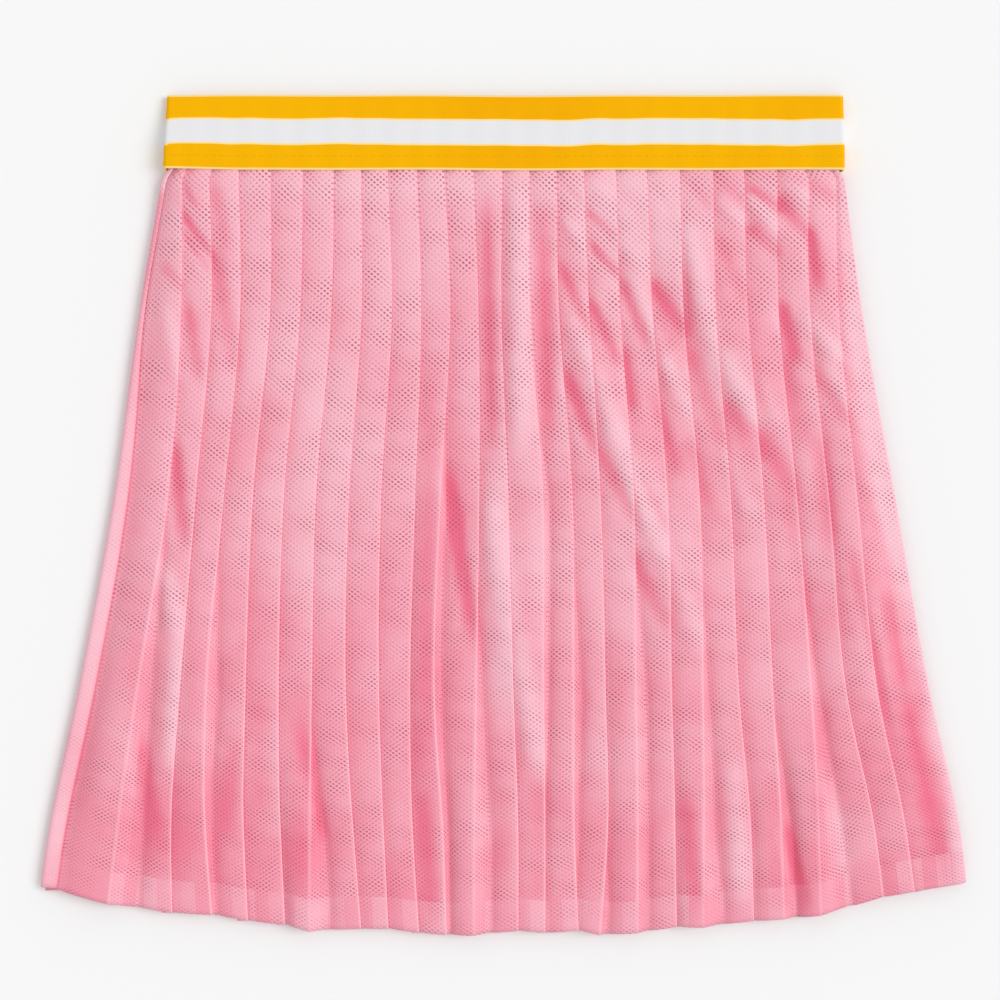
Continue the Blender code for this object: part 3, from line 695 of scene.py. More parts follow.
def staggered_holes():
    """A group: the staggered holes of a warp-knit mesh, as a wave that peaks at 1 on each hole.

    With a = 2 pi x / across and b = 2 pi y / along, on cloth turned by turn and moved by shift, the wave
    is ((1 - slant) cos(a + b) + (1 + slant) cos(a - b)) / 2. At slant 0 it is cos a cos b; at 1 the holes
    have run together into slanting lines.
    """
    tree, entry, result = group(
        "staggered_holes",
        {
            "Cloth": ("NodeSocketVector", None),
            "Across": ("NodeSocketFloat", 3.2),
            "Along": ("NodeSocketFloat", 3.0),
            "Turn": ("NodeSocketFloat", 0.0),
            "Shift": ("NodeSocketFloat", 0.0),
            "Slant": ("NodeSocketFloat", 0.0),
        },
        {"Wave": "NodeSocketFloat"},
    )
    turned = node(tree, "ShaderNodeVectorRotate", entry.outputs["Cloth"], rotation_type="Z_AXIS")
    tree.links.new(entry.outputs["Turn"], turned.inputs["Angle"])
    place = node(tree, "ShaderNodeSeparateXYZ", turned.outputs[0])
    angles = []
    for axis, pitch, share in (("X", "Across", 1.0), ("Y", "Along", 0.63)):
        moved = maths(tree, "MULTIPLY_ADD", entry.outputs["Shift"], share, place.outputs[axis])
        turns = maths(tree, "DIVIDE", moved, entry.outputs[pitch])
        angles.append(maths(tree, "MULTIPLY", turns, 2 * np.pi))
    rising = maths(tree, "COSINE", maths(tree, "ADD", *angles))
    falling = maths(tree, "COSINE", maths(tree, "SUBTRACT", *angles))
    half_slant = maths(tree, "MULTIPLY", entry.outputs["Slant"], 0.5)
    rising = maths(tree, "MULTIPLY", rising, maths(tree, "SUBTRACT", 0.5, half_slant))
    wave = maths(tree, "MULTIPLY_ADD", falling, maths(tree, "ADD", 0.5, half_slant), rising)
    tree.links.new(wave, result.inputs["Wave"])
    return tree


HOLE_ACROSS = 3.2  # millimetres of knit between holes in a row
HOLE_ALONG = 3.0
HOLE_EDGE = (0.05, 0.75)  # of the wave, from a hole's edge to its full depth
UNDER_PITCH = 0.89  # the layer underneath shows its holes at this share of the pitch, as it lies askew
UNDER_TURN = 0.05  # radians
UNDER_SHIFT = 7.3  # millimetres by which it lies elsewhere under each pleat
UNDER_EDGE = (-0.75, 0.75)
PATCH_EDGE = (0.31, 0.58)  # of a noise, from where the two layers cling to where they lie apart and the holes show more painted shade
HOLE_DARK = 0.17  # how dark a hole is over whole cloth: painted shade of the layer seen through it
SEEN_DARK = 0.72  # and how much darker over a hole in the layer underneath: painted shade from deeper down
HOLES_AT_TOP = 1.04  # how deep the holes show at the top
HOLES_FADE = 0.18  # and how much less at the hem
HEM_CLOSED = 0.32  # how far the doubled hem closes its holes
HEM_STACK = 7.0  # millimetres between the folds that lie under the hem and change its tone
TONE_AT_TOP = 0.80  # how much of the pale pink there is just under the band
TONE_FALL = 0.26  # and how much less at the hem
LIT_PALE_PINK = (0.96, 0.545, 0.63, 1.0)  # painted light: the pale end, on crests and where the cloth faces the light
SHADED_DEEP_PINK = (0.885, 0.17, 0.275, 1.0)  # painted shade: the deep end, in the valleys and where the cloth turns from the light
# the pressed crease's pale line, partly a painted highlight
PRESSED_AND_LIT_CREASE_PINK = (0.97, 0.52, 0.61, 1.0)
# painted shade: the colour of the shaded layers seen through a hole
HOLE_SHADE_PINK = (0.40, 0.075, 0.125, 1.0)
HEM_PINK = (0.93, 0.40, 0.50, 1.0)
holes_group = staggered_holes()


def sports_mesh(name):
    """The pink mesh: holes painted dark with the shade of the layers behind them, pale creases that are
    partly a painted highlight, and a turned hem.

    Marks on the piece: its tone, the folds' painted light and shade, how pale it is drawn; crease, 1 on a
    pressed crease; pleat, its number; above_hem, millimetres above the hem's edge; plain, 1 where doubled
    cloth shows no holes.

    A hole is as dark as HOLE_DARK + SEEN_DARK x the layer's hole underneath x a patchy noise that starts
    anew on each pleat, times how open the cloth is: a painted shade of the layers seen through it. The pink
    goes from deep to pale by the folds' painted light and shade, lowered down the cloth and varied by
    clouds, by grain and, in the hem, by blocks.
    """
    material, tree, shader = new_finish(
        name,
        {"Roughness": 0.78, "Sheen Weight": 0.12, "Sheen Roughness": 0.5, "Specular IOR Level": 0.12},
    )

    def mark(called):
        """A mark's value on the piece."""
        return node(tree, "ShaderNodeAttribute", attribute_name=called).outputs["Fac"]

    def times(first, *others):
        """The product of all of them."""
        for other in others:
            first = maths(tree, "MULTIPLY", first, other)
        return first

    # the knit in millimetres, wandering a little from straight
    place = node(tree, "ShaderNodeTexCoord").outputs["Object"]
    uv = node(tree, "ShaderNodeUVMap", uv_map="cloth").outputs["UV"]
    in_millimetres = node(tree, "ShaderNodeVectorMath", uv, operation="SCALE")
    in_millimetres.inputs["Scale"].default_value = 1000.0
    in_millimetres = in_millimetres.outputs[0]
    wander = node(tree, "ShaderNodeTexNoise", place, None, 60.0, 2.0).outputs["Color"]
    wander = node(tree, "ShaderNodeVectorMath", wander, (0.5, 0.5, 0.5), operation="SUBTRACT").outputs[0]
    warped = node(tree, "ShaderNodeVectorMath", wander, (1.6, 1.6, 0.0), in_millimetres)
    warped.operation = "MULTIPLY_ADD"
    cloth = warped.outputs[0]
    slant = maths(tree, "MULTIPLY_ADD", noise(tree, place, 26.0, 1.0), 0.5, -0.12)

    def holes(pitch, turn, shift):
        """The wave of one layer's holes, at a share of their pitch, turned and moved."""
        made = node(tree, "ShaderNodeGroup", node_tree=holes_group)
        tree.links.new(slant, made.inputs["Slant"])
        tree.links.new(cloth, made.inputs["Cloth"])
        made.inputs["Across"].default_value = HOLE_ACROSS * pitch
        made.inputs["Along"].default_value = HOLE_ALONG * pitch
        made.inputs["Turn"].default_value = turn
        if shift is not None:
            tree.links.new(shift, made.inputs["Shift"])
        return made.outputs["Wave"]

    # how dark each hole is: painted shade of the layers seen through it
    hole = smooth_step(tree, holes(1.0, 0.0, None), *HOLE_EDGE)
    under = holes(UNDER_PITCH, UNDER_TURN, times(mark("pleat"), UNDER_SHIFT))
    seen_through = smooth_step(tree, under, *UNDER_EDGE)
    apart = node(tree, "ShaderNodeCombineXYZ", 0.0, 0.0, times(mark("pleat"), 0.31)).outputs[0]
    patch_place = node(tree, "ShaderNodeVectorMath", place, apart, operation="ADD").outputs[0]
    patchy = smooth_step(tree, noise(tree, patch_place, 44.0, 1.0), *PATCH_EDGE)
    darkness = maths(tree, "MULTIPLY_ADD", times(seen_through, patchy), SEEN_DARK, HOLE_DARK)

    # how open the cloth is
    above_hem = mark("above_hem")
    down = maths(tree, "MULTIPLY_ADD", above_hem, -1 / (SKIRT_TOP - HEM_LEVEL), 1.0)
    in_hem = smooth_step(tree, above_hem, HEM_TURN_UP + 0.3, HEM_TURN_UP - 0.3)
    # the pale line on a pressed crease, partly a painted highlight, shown more lower down the cloth
    crease = times(mark("crease"), smooth_step(tree, down, -0.2, 0.9))
    closed = maths(tree, "MAXIMUM", times(in_hem, HEM_CLOSED), crease)
    open_share = maths(tree, "SUBTRACT", 1.0, maths(tree, "MAXIMUM", closed, mark("plain")))
    depth = maths(tree, "MULTIPLY_ADD", down, -HOLES_FADE, HOLES_AT_TOP)
    hole_share = times(hole, darkness, open_share, depth)

    # how pale it is: the folds' painted light and shade, with changes down the cloth, clouds, grain and hem
    # blocks
    across = node(tree, "ShaderNodeSeparateXYZ", in_millimetres).outputs["X"]
    block = maths(tree, "FLOOR", maths(tree, "DIVIDE", across, HEM_STACK))
    block = maths(tree, "MULTIPLY_ADD", mark("pleat"), 17.0, block)
    blocks = node(tree, "ShaderNodeTexWhiteNoise", None, block, noise_dimensions="1D").outputs["Value"]
    pale = mark("painted_shading")
    for change in (
        maths(tree, "MULTIPLY_ADD", down, -TONE_FALL, TONE_AT_TOP),
        centred(tree, noise(tree, place, 22.0, 3.0), 0.7),
        # painted shade where the layer underneath shows its holes
        times(seen_through, -0.14),
        centred(tree, noise(tree, cloth, 0.9, 1.0), 0.3),
        times(maths(tree, "MULTIPLY_ADD", blocks, 0.40, -0.12), in_hem),
    ):
        pale = maths(tree, "ADD", pale, change)

    # mixed from painted shade to painted light
    colour = mixed(tree, smooth_step(tree, pale, -0.1, 1.1), SHADED_DEEP_PINK, LIT_PALE_PINK)
    for share, pink in (
        (times(in_hem, 0.3), HEM_PINK),
        (times(crease, 0.8), PRESSED_AND_LIT_CREASE_PINK),
        (hole_share, HOLE_SHADE_PINK),
    ):
        colour = mixed(tree, share, colour, pink)
    tree.links.new(colour, shader.inputs["Base Color"])
    yarn = noise(tree, cloth, 2.4, 1.0)
    bumped(tree, shader, maths(tree, "MULTIPLY_ADD", times(hole, open_share), -1.0, yarn), 0.5, 0.0003)
    return material


def cloth_lengths(rows):
    """Millimetres of knit from the top down to each row: L ((1 - a) t + a t^2), t from 0 to 1."""
    t = np.linspace(0, 1, rows)
    return KNIT_LENGTH * (t * (1 - SLACK_BELOW) + SLACK_BELOW * t**2)


def knit_anew(points, cloth_u, starts):
    """cloth_u at the left and at the right of each strip of faces.

    The knit starts anew at the columns starts, where a new pleat begins and a fold hides it. The strip
    before each of them counts back from its right side by its own width.
    """
    left = cloth_u.copy()
    widths = np.linalg.norm(points[:, starts] - points[:, starts - 1], axis=2)
    left[:, starts - 1] = cloth_u[:, starts] - widths
    return left, cloth_u


points, cloth_u, crease, pleat, painted_shading = front_grid()
cloth_v = np.repeat(cloth_lengths(FRONT_ROWS)[:, None], points.shape[1], axis=1)
above_hem = points[..., 1] - points[-1:, :, 1]
marks = {"painted_shading": painted_shading, "crease": crease, "pleat": pleat, "above_hem": above_hem, "plain": 0 * painted_shading}
starts = 1 + np.arange(1, len(FRONT_PLEATS)) * (len(FACE_AT) + len(FOLD_TURN) + len(LAP_TURN))
knit = knit_anew(points, cloth_u, starts)
skirt_front = cloth_mesh("skirt_front_cloth", points, knit, cloth_v, marks, CLOTH)
skirt_front.data.materials.append(sports_mesh("pink_mesh_front"))
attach(skirt_front, "root")
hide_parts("skirt_front")


# ---- The back of the skirt ----------------------------------------------------------------------
# The same mesh, pressed into 24 even knife pleats that turn to the left as seen from the front. It
# lies on the table on its pleats' faces, and its last pleat rolls up round the left side.

BACK_PLEATS = 24
BACK_ROWS = 100
BACK_FACE_AT = np.array([0.0, 0.1, 0.22, 0.45, 0.7, 1.0])
BACK_LAP_TOP = 7.0  # how far each pleat laps under at the top
BACK_LAP_HEM = 5.0
BACK_HEM_SHORTER = 1.0
BACK_STARTS_IN = 1.0  # from the right side
BACK_CROWN_POWER = 8.0
BACK_NUMBERS_FROM = 40  # its pleats are numbered on from here, so that their holes differ from the front's
SIDE_TURN = np.radians([90, 60, 30, 0])  # columns round each of the left side's two bends
SIDE_RADIUS = 1.9
SIDE_COLUMNS = 21  # from the last pleat's face to the strip's end
STRIP_STARTS = 125.0  # above this the front covers the strip on the left
STRIP_GROWS = 70.0  # and over this height it comes to its full width
STRIP_PLAIN = 0.78  # its cloth is doubled, and shows only faint holes
BACK_LIFT = 0.5  # how far its hollows rise from the table, as a share of their depth
BACK_CREASES = (
    # puckers under the band
    Drape(-151, 168, -138, 138, 5, -0.9),
    Drape(-119, 170, -108, 149, 4, -0.7),
    Drape(-86, 168, -70, 130, 5, -0.9),
    Drape(-53, 171, -45, 151, 4, -0.6),
    Drape(-15, 168, -1, 134, 5, -0.8),
    Drape(31, 170, 22, 143, 4, -0.7),
    Drape(63, 168, 47, 129, 5, -0.9),
    Drape(96, 171, 87, 147, 4, -0.7),
    Drape(133, 168, 117, 131, 5, -0.9),
    Drape(159, 166, 149, 126, 5, -0.8),
    # across the seat
    Drape(-121, 118, -91, 68, 7, -1.1),
    Drape(-89, 98, -62, 38, 8, -1.0),
    Drape(-150, 60, -139, -8, 8, 0.8),
    Drape(-41, 62, -25, -12, 9, -0.9),
    Drape(97, 113, 69, 57, 7, -1.2),
    Drape(67, 48, 43, -16, 8, -1.0),
    Drape(141, 67, 115, 6, 8, -1.1),
    Drape(20, 102, 7, 28, 8, 0.9),
    Drape(98, 30, 84, -38, 9, 0.8),
    # down to the hem
    Drape(-151, -22, -166, -98, 9, -1.0),
    Drape(-97, -58, -109, -152, 8, 0.8),
    Drape(-60, -104, -66, -176, 7, -0.8),
    Drape(-28, -78, -38, -172, 9, -1.1),
    Drape(12, -96, 14, -182, 8, 0.7),
    Drape(51, -68, 61, -162, 9, -0.9),
    Drape(119, -42, 138, -133, 9, -1.1),
    Drape(175, -62, 193, -151, 9, -0.9),
)


def back_crown(s):
    """How deep a back pleat lies at the share s of its face: 1 - (1 - s)^BACK_CROWN_POWER."""
    return 1 - (1 - s) ** BACK_CROWN_POWER


def back_grid():
    """Points of the back's middle, and its cloth coordinates and marks, from the right side to the left.

    Worked out like the front, but for even pleats and as seen from below: away is the distance to the left,
    and deep is the depth below the pleats' upper side. Each face comes to its full depth so soon that it
    lies flat on the table. A fold lifts it from there, and where it would sink it is shown only by painted
    light and shade.
    """
    columns = len(BACK_FACE_AT) + len(FOLD_TURN) - 1 + len(LAP_TURN)
    number = np.arange(1, BACK_PLEATS)
    pleated = len(number) * columns
    hem_right, hem_left = -FRONT_PLEATS[-1].hem, -LEFT_OUTLINE.hem - WALL / 2
    place = (number[:, None] + np.linspace(-1, 0, columns)[None, :]) / BACK_PLEATS
    side_share = [np.linspace(1 - 1 / BACK_PLEATS, 1, 6), np.ones(3), np.linspace(1, 0.985, 12)]
    share = np.concatenate([place.ravel(), *side_share])
    hem_y = hem_height(-(hem_right + (hem_left - hem_right) * share)) + BACK_HEM_SHORTER
    all_y = column_heights(hem_y, BACK_ROWS)
    edges = creases_at((FRONT_PLEATS[-1], LEFT_OUTLINE), np.repeat(all_y[:, None, :], 2, axis=1))
    right, left = -edges[:, 0], -edges[:, 1] - WALL / 2
    pitch = (left - right) / BACK_PLEATS
    down = (SKIRT_TOP - all_y) / (SKIRT_TOP - STATIONS[-1])
    lap = BACK_LAP_TOP + (BACK_LAP_HEM - BACK_LAP_TOP) * down

    shape = (BACK_ROWS, len(number), columns)
    right_of, pitch_of, lap_of = (a[:, :pleated].reshape(shape) for a in (right, pitch, lap))
    crease = right_of + number[:, None] * pitch_of
    first = (number == 1)[:, None]
    start = crease - pitch_of + np.where(first, BACK_STARTS_IN, PLEAT_EMERGES)
    low = WALL / 2
    high = PLEATED - WALL / 2
    faces = len(BACK_FACE_AT)
    face_away = start[..., :faces] + (crease - FOLD - start)[..., :faces] * BACK_FACE_AT
    face_deep = low + (high - low) * back_crown(BACK_FACE_AT) + 0 * face_away
    turns = FOLD_TURN[1:]
    fold_away = crease[..., faces : faces + len(turns)] + FOLD * (np.cos(turns) - 1)
    fold_deep = high + FOLD * (np.sin(turns) - 1) + 0 * fold_away
    lap_away = (crease - lap_of)[..., faces + len(turns) :] + FOLD * (1 + np.cos(LAP_TURN))
    lap_deep = low + FOLD * (1 + np.sin(LAP_TURN)) + 0 * lap_away
    away = np.concatenate([face_away, fold_away, lap_away], axis=2)
    deep = np.concatenate([face_deep, fold_deep, lap_deep], axis=2)

    # the last pleat: its face, out round the left side, up, in again, and back over the top as a strip
    face, outward, rising, inward, over = (
        slice(*columns_of) for columns_of in ((0, 6), (6, 9), (9, 12), (12, 15), (15, SIDE_COLUMNS))
    )
    side = left[:, pleated:]
    side_y = all_y[:, pleated:]
    side_start = (right + (BACK_PLEATS - 1) * pitch)[:, pleated:] + PLEAT_EMERGES
    strip = -(1.5 * WALL + 2 * GAP)
    strip_end = -creases_at((LEFT_CREASE,), side_y[:, None])[:, 0]
    narrowed = 1 - ease((STRIP_STARTS - side_y) / STRIP_GROWS)
    strip_end = strip_end + (side - SIDE_RADIUS - 0.4 - strip_end) * narrowed
    across = np.linspace(0, 1, 6)
    turn_out, turn_in = SIDE_TURN[1:], SIDE_TURN[::-1][1:]
    side_away = side.copy()
    side_deep = np.full_like(side, high)
    side_away[:, face] = side_start[:, face] + (side - SIDE_RADIUS - side_start)[:, face] * across
    side_deep[:, face] = low + (high - low) * back_crown(across)
    side_away[:, outward] += SIDE_RADIUS * (np.cos(turn_out) - 1)
    side_deep[:, outward] += SIDE_RADIUS * (np.sin(turn_out) - 1)
    side_deep[:, rising] = high - SIDE_RADIUS + (strip - high + 2 * SIDE_RADIUS) * np.array([0, 0.5, 1.0])
    side_away[:, inward] += SIDE_RADIUS * (np.cos(turn_in) - 1)
    side_deep[:, inward] = strip - SIDE_RADIUS * (np.sin(turn_in) - 1)
    across = np.linspace(0, 1, 7)[1:]
    side_away[:, over] = (side - SIDE_RADIUS)[:, over] + (strip_end - side + SIDE_RADIUS)[:, over] * across
    side_deep[:, over] = strip + 0.25 * across**2

    away = np.concatenate([away.reshape(BACK_ROWS, -1), side_away], axis=1)
    deep = np.concatenate([deep.reshape(BACK_ROWS, -1), side_deep], axis=1)
    drape = relief(-away, all_y, BACK_CREASES) * below_band(all_y)
    drape[:, pleated:] = 0
    height = back_rise(all_y) + PLEATED - deep - BACK_LIFT * np.minimum(drape, 0)
    points = np.stack([-away, all_y, height], axis=2)

    run = running(np.linalg.norm(np.diff(points, axis=1), axis=2))
    at_crease = np.arange(len(number)) * columns + faces
    owner = np.concatenate([np.repeat(at_crease, columns), np.full(SIDE_COLUMNS, pleated + outward.start)])
    run = run - run[:, owner]
    # the pale line on each crease, partly a painted highlight, fainter round the left side and over the
    # strip
    crease = np.exp(-((run / 0.75) ** 2))
    crease[:, pleated:] *= 0.4
    plain = np.zeros_like(run)
    plain[:, pleated + rising.start :] = STRIP_PLAIN

    # the folds' painted light and shade, and the strip's tone: paler downwards and just under the band, and
    # painted shade at its end
    painted_shading = 0.2 * drape - 0.06 * np.gradient(drape, axis=1)
    painted_shading += plain * (-0.40 + 0.82 * ease((SKIRT_TOP - all_y) / 200) + 0.9 * ease((all_y - 158) / 8))
    painted_shading[:, -2:] -= np.array([0.1, 0.7]) * ease((STRIP_STARTS + 10 - all_y[:, -2:]) / 30)
    pleat = np.concatenate([np.repeat(number, columns), np.full(SIDE_COLUMNS, BACK_PLEATS)])
    pleat = np.broadcast_to(BACK_NUMBERS_FROM + pleat, run.shape)
    starts = np.arange(1, len(number) + 1) * columns
    return points, run, crease, pleat, plain, painted_shading, starts


points, cloth_u, crease, pleat, plain, painted_shading, starts = back_grid()
cloth_v = np.repeat(cloth_lengths(BACK_ROWS)[:, None], points.shape[1], axis=1)
above_hem = points[..., 1] - points[-1:, :, 1]
marks = {"painted_shading": painted_shading, "crease": crease, "pleat": pleat, "above_hem": above_hem, "plain": plain}
knit = knit_anew(points, cloth_u, starts)
skirt_back = cloth_mesh("skirt_back_cloth", points, knit, cloth_v, marks, CLOTH)
skirt_back.data.materials.append(sports_mesh("pink_mesh_back"))
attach(skirt_back, "root")
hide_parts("skirt_back")


# ---- The inner shorts ---------------------------------------------------------------------------
# Two legs of plain fine jersey, each cut in one piece and folded round the leg's outer side. They are
# sewn together down the middle to the crotch, and lie between the skirt's back and front.

Shorts = namedtuple("Shorts", "y left_outer left_inner right_inner right_outer")
SEAM = 0.3  # from one leg to the other, down to the crotch
SHORTS_SECTIONS = (
    Shorts(164, -150, -4, -4 + SEAM, 147),
    Shorts(150, -152, -5, -5 + SEAM, 149),
    Shorts(107, -159, -8, -8 + SEAM, 155),
    Shorts(57, -165, -12, -12 + SEAM, 165),
    Shorts(22, -169, -15, -15 + SEAM, 170),
    Shorts(-10, -172, -21, -12, 175),
    Shorts(-43, -174, -25, -10, 177),
    Shorts(-88, -173, -29, -8, 176),
)
LEG_HEM = {
    "left": {"outer": (-172, -103), "inner": (-32, -127)},
    "right": {"outer": (172, -110), "inner": (-6, -135)},
}
LEG_ROWS = 70
LEG_COLUMNS = 26  # across each layer
LEG_TURN = np.radians([45, 0, -45])  # and round the fold between them
LEG_HEM_DEPTH = 20.0
JERSEY = 0.6
LEG_FOLD_DEPTH = 0.4  # the share of the space between its layers by which a fold draws them together
LEG_FOLDS = (
    Drape(-138, 152, -117, 108, 7, -1.0),
    Drape(-92, 128, -70, 78, 8, -0.9),
    Drape(-48, 142, -27, 92, 8, -1.0),
    Drape(-128, 62, -112, -2, 9, -0.8),
    Drape(-63, 34, -52, -40, 8, -0.9),
    Drape(-98, -22, -104, -88, 9, -0.8),
    Drape(136, 150, 116, 104, 7, -1.0),
    Drape(88, 126, 63, 80, 8, -0.9),
    Drape(37, 140, 20, 88, 8, -0.9),
    Drape(127, 58, 108, -8, 9, -0.9),
    Drape(60, 30, 46, -42, 8, -0.8),
    Drape(96, -26, 101, -92, 9, -0.8),
)
JERSEY_PINK = (0.86, 0.30, 0.42, 1.0)
JERSEY_SHADE = (0.80, 0.22, 0.34, 1.0)


def leg_grid(side):
    """Points of one leg's middle: its upper layer out to the outer side, round it, and the lower back.

    Its sides run straight between SHORTS_SECTIONS, and its heights go from even at the top to the
    slanting hem by t^3. A fold draws both layers together, so that the leg stays clear of the skirt.
    """
    outer_x, outer_y = LEG_HEM[side]["outer"]
    inner_x, inner_y = LEG_HEM[side]["inner"]
    heights = [row.y for row in SHORTS_SECTIONS]
    inner_at = [getattr(row, side + "_inner") for row in SHORTS_SECTIONS]
    outer_at = [getattr(row, side + "_outer") for row in SHORTS_SECTIONS]
    way = 1 if outer_x > 0 else -1
    over = np.linspace(0, 1, LEG_COLUMNS)
    share = np.concatenate([over, np.ones(len(LEG_TURN)), over[::-1]])
    t = np.linspace(0, 1, LEG_ROWS)[:, None]
    hem_y = inner_y + (outer_y - inner_y) * share[None, :]
    y = heights[0] + t * (outer_y - heights[0]) + t**3 * (hem_y - outer_y)
    inner = np.interp(-y, [-h for h in heights] + [-inner_y], inner_at + [inner_x])
    outer = np.interp(-y, [-h for h in heights] + [-outer_y], outer_at + [outer_x]) - way * FOLD
    x = inner + (outer - inner) * share
    layer = np.concatenate([np.ones(LEG_COLUMNS), np.sin(LEG_TURN), -np.ones(LEG_COLUMNS)])
    x[:, LEG_COLUMNS : LEG_COLUMNS + len(LEG_TURN)] += way * FOLD * np.cos(LEG_TURN)
    middle = back_rise(y) + PLEATED + GAP + WALL / 2 + FOLD
    folded = LEG_FOLD_DEPTH * np.maximum(-relief(x, y, LEG_FOLDS), 0)
    points = np.stack([x, y, middle + FOLD * layer * (1 - folded)], axis=2)
    return points if way > 0 else points[:, ::-1]


def fine_jersey(name):
    """Plain jersey: columns of knit loops a third of a millimetre wide, and its hem's row of stitches."""
    material, tree, shader = new_finish(name, {"Roughness": 0.85, "Sheen Weight": 0.2})
    cloth = node(tree, "ShaderNodeUVMap", uv_map="cloth").outputs["UV"]
    loops = node(tree, "ShaderNodeTexWave", cloth, 950.0, 1.5, wave_type="BANDS", bands_direction="X")
    loops = loops.outputs["Fac"]
    above_hem = node(tree, "ShaderNodeAttribute", attribute_name="above_hem").outputs["Fac"]
    from_stitches = maths(tree, "ABSOLUTE", maths(tree, "SUBTRACT", above_hem, LEG_HEM_DEPTH))
    stitched = maths(tree, "SUBTRACT", 1.0, smooth_step(tree, from_stitches, 0.2, 0.7))
    shade = maths(tree, "MULTIPLY", loops, noise(tree, cloth, 60.0, 3.0))
    shade = maths(tree, "MAXIMUM", shade, stitched)
    tree.links.new(mixed(tree, shade, JERSEY_PINK, JERSEY_SHADE), shader.inputs["Base Color"])
    bumped(tree, shader, maths(tree, "SUBTRACT", loops, stitched), 0.4, 0.0002)
    return material


for side in ("left", "right"):
    points = leg_grid(side)
    cloth_u = running(np.linalg.norm(np.diff(points, axis=1), axis=2))
    cloth_v = running(np.linalg.norm(np.diff(points, axis=0), axis=2).T).T
    marks = {"above_hem": cloth_v[-1:] - cloth_v}
    leg = cloth_mesh(f"shorts_{side}_leg_jersey", points, (cloth_u, cloth_u), cloth_v, marks, JERSEY)
    leg.data.materials.append(fine_jersey(f"pink_jersey_{side}"))
    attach(leg, "root")
    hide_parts(f"shorts_{side}_leg")


# ---- The waistband ------------------------------------------------------------------------------
# One loop of woven elastic 38 mm high, striped yellow, white and yellow with a thin pale line at each
# stripe's edge. It laps 8 mm over the skirt and the shorts and is stitched through all of them.

BAND_TOP = 210.0
BAND_LEFT = -169.5
BAND_RIGHT = 170.5
BAND_CORNER = 2.0  # the radius of its bend at either end
BAND_TURN = np.radians([68, 45, 22, 0])  # columns round a quarter of it
BAND_RIM_INSIDE = 3.2  # from its upper layer to its lower one at the rim
BAND_RIPPLE = 0.5
BAND_LEFT_LEANS = 1.2  # its left end leans in by so much from bottom to top
BAND_LEFT_SHORTER = 1.0  # and its lower edge is drawn up by so much there
BAND_ROWS = 40
BAND_TOP_COLUMNS = 260
BAND_UNDER_COLUMNS = 120
BAND_CLOTH = 1.1
BAND_PRESSED = 0.55  # the stitches pull its lower half down onto the skirt
PLEAT_SHOWS = 0.10  # how high the pleats under it show
PLEAT_PITCH = 14.4
STRIPE = 12.65  # each stripe's height
STRIPE_SOFT = 0.15  # how far its edge blurs to either side
PALE_LINES = ((0, 1.5), (1, 0.9), (2, 0.9), (3, 1.7))  # the stripe each lies above, and its width
RIB = 0.9  # the weave's spacing along the band, and across it
PICK = 0.7
YELLOW = (0.92, 0.455, 0.0, 1.0)
AMBER = (0.89, 0.40, 0.0, 1.0)
WHITE = (0.80, 0.80, 0.815, 1.0)
CREAM = (1.0, 0.74, 0.30, 1.0)


def band_grid():
    """Points of the elastic's middle round the loop: over the top from left to right, and back under.

    In height it goes by ease from the rim's to the skirt's. Its lower edge ripples by BAND_RIPPLE, as
    sin(x / 21 + 1) cos(x / 55), and its lower half follows the pleats under it very slightly.
    """
    half = ELASTIC / 2
    on_skirt = 2 * ELASTIC + 2 * PLEATED + 3 * GAP - half
    at_rim = ELASTIC + BAND_RIM_INSIDE + half
    y = np.linspace(BAND_TOP, BAND_BOTTOM, BAND_ROWS)[:, None]
    top = at_rim + (on_skirt - at_rim) * ease((BAND_TOP - y) / (BAND_TOP - SKIRT_TOP - 1))
    bottom = half + 0 * top
    left = BAND_LEFT + half + BAND_LEFT_LEANS * (y - BAND_BOTTOM) / (BAND_TOP - BAND_BOTTOM)
    right = BAND_RIGHT - half
    turn = BAND_CORNER - half
    start, end = left + turn, right - turn
    out = turn * np.cos(BAND_TURN)
    drop = turn * (1 - np.sin(BAND_TURN))
    over = np.linspace(0, 1, BAND_TOP_COLUMNS)
    under = np.linspace(1, 0, BAND_UNDER_COLUMNS)
    parts = (
        (start + (end - start) * over, top + 0 * over),
        (end + out, top - drop),
        (end + out[::-1], bottom + drop[::-1]),
        (start + (end - start) * under, bottom + 0 * under),
        (start - out, bottom + drop),
        (start - out[::-1], top - drop[::-1]),
    )
    x = np.concatenate([np.broadcast_to(part, (BAND_ROWS, part.shape[-1])) for part, _ in parts], axis=1)
    z = np.concatenate([part for _, part in parts], axis=1)
    ripple = np.sin(x / 21 + 1) * np.cos(x / 55)
    y = y - BAND_RIPPLE * (0.5 + 0.5 * ripple)
    y = y + BAND_LEFT_SHORTER * ease(-(x + 130) / 40) * (BAND_TOP - y) / (BAND_TOP - BAND_BOTTOM)
    low_half = ease((BAND_TOP - y - 20) / 18)
    on_top = (z > on_skirt / 2) * ease((x - left - 4) / 8) * ease((right - x - 4) / 8)
    pleats = PLEAT_SHOWS * np.sin(2 * np.pi * x / PLEAT_PITCH)
    z = z + (pleats - BAND_PRESSED * ease(low_half * 1.6)) * on_top
    return np.stack([x, y, z], axis=2)


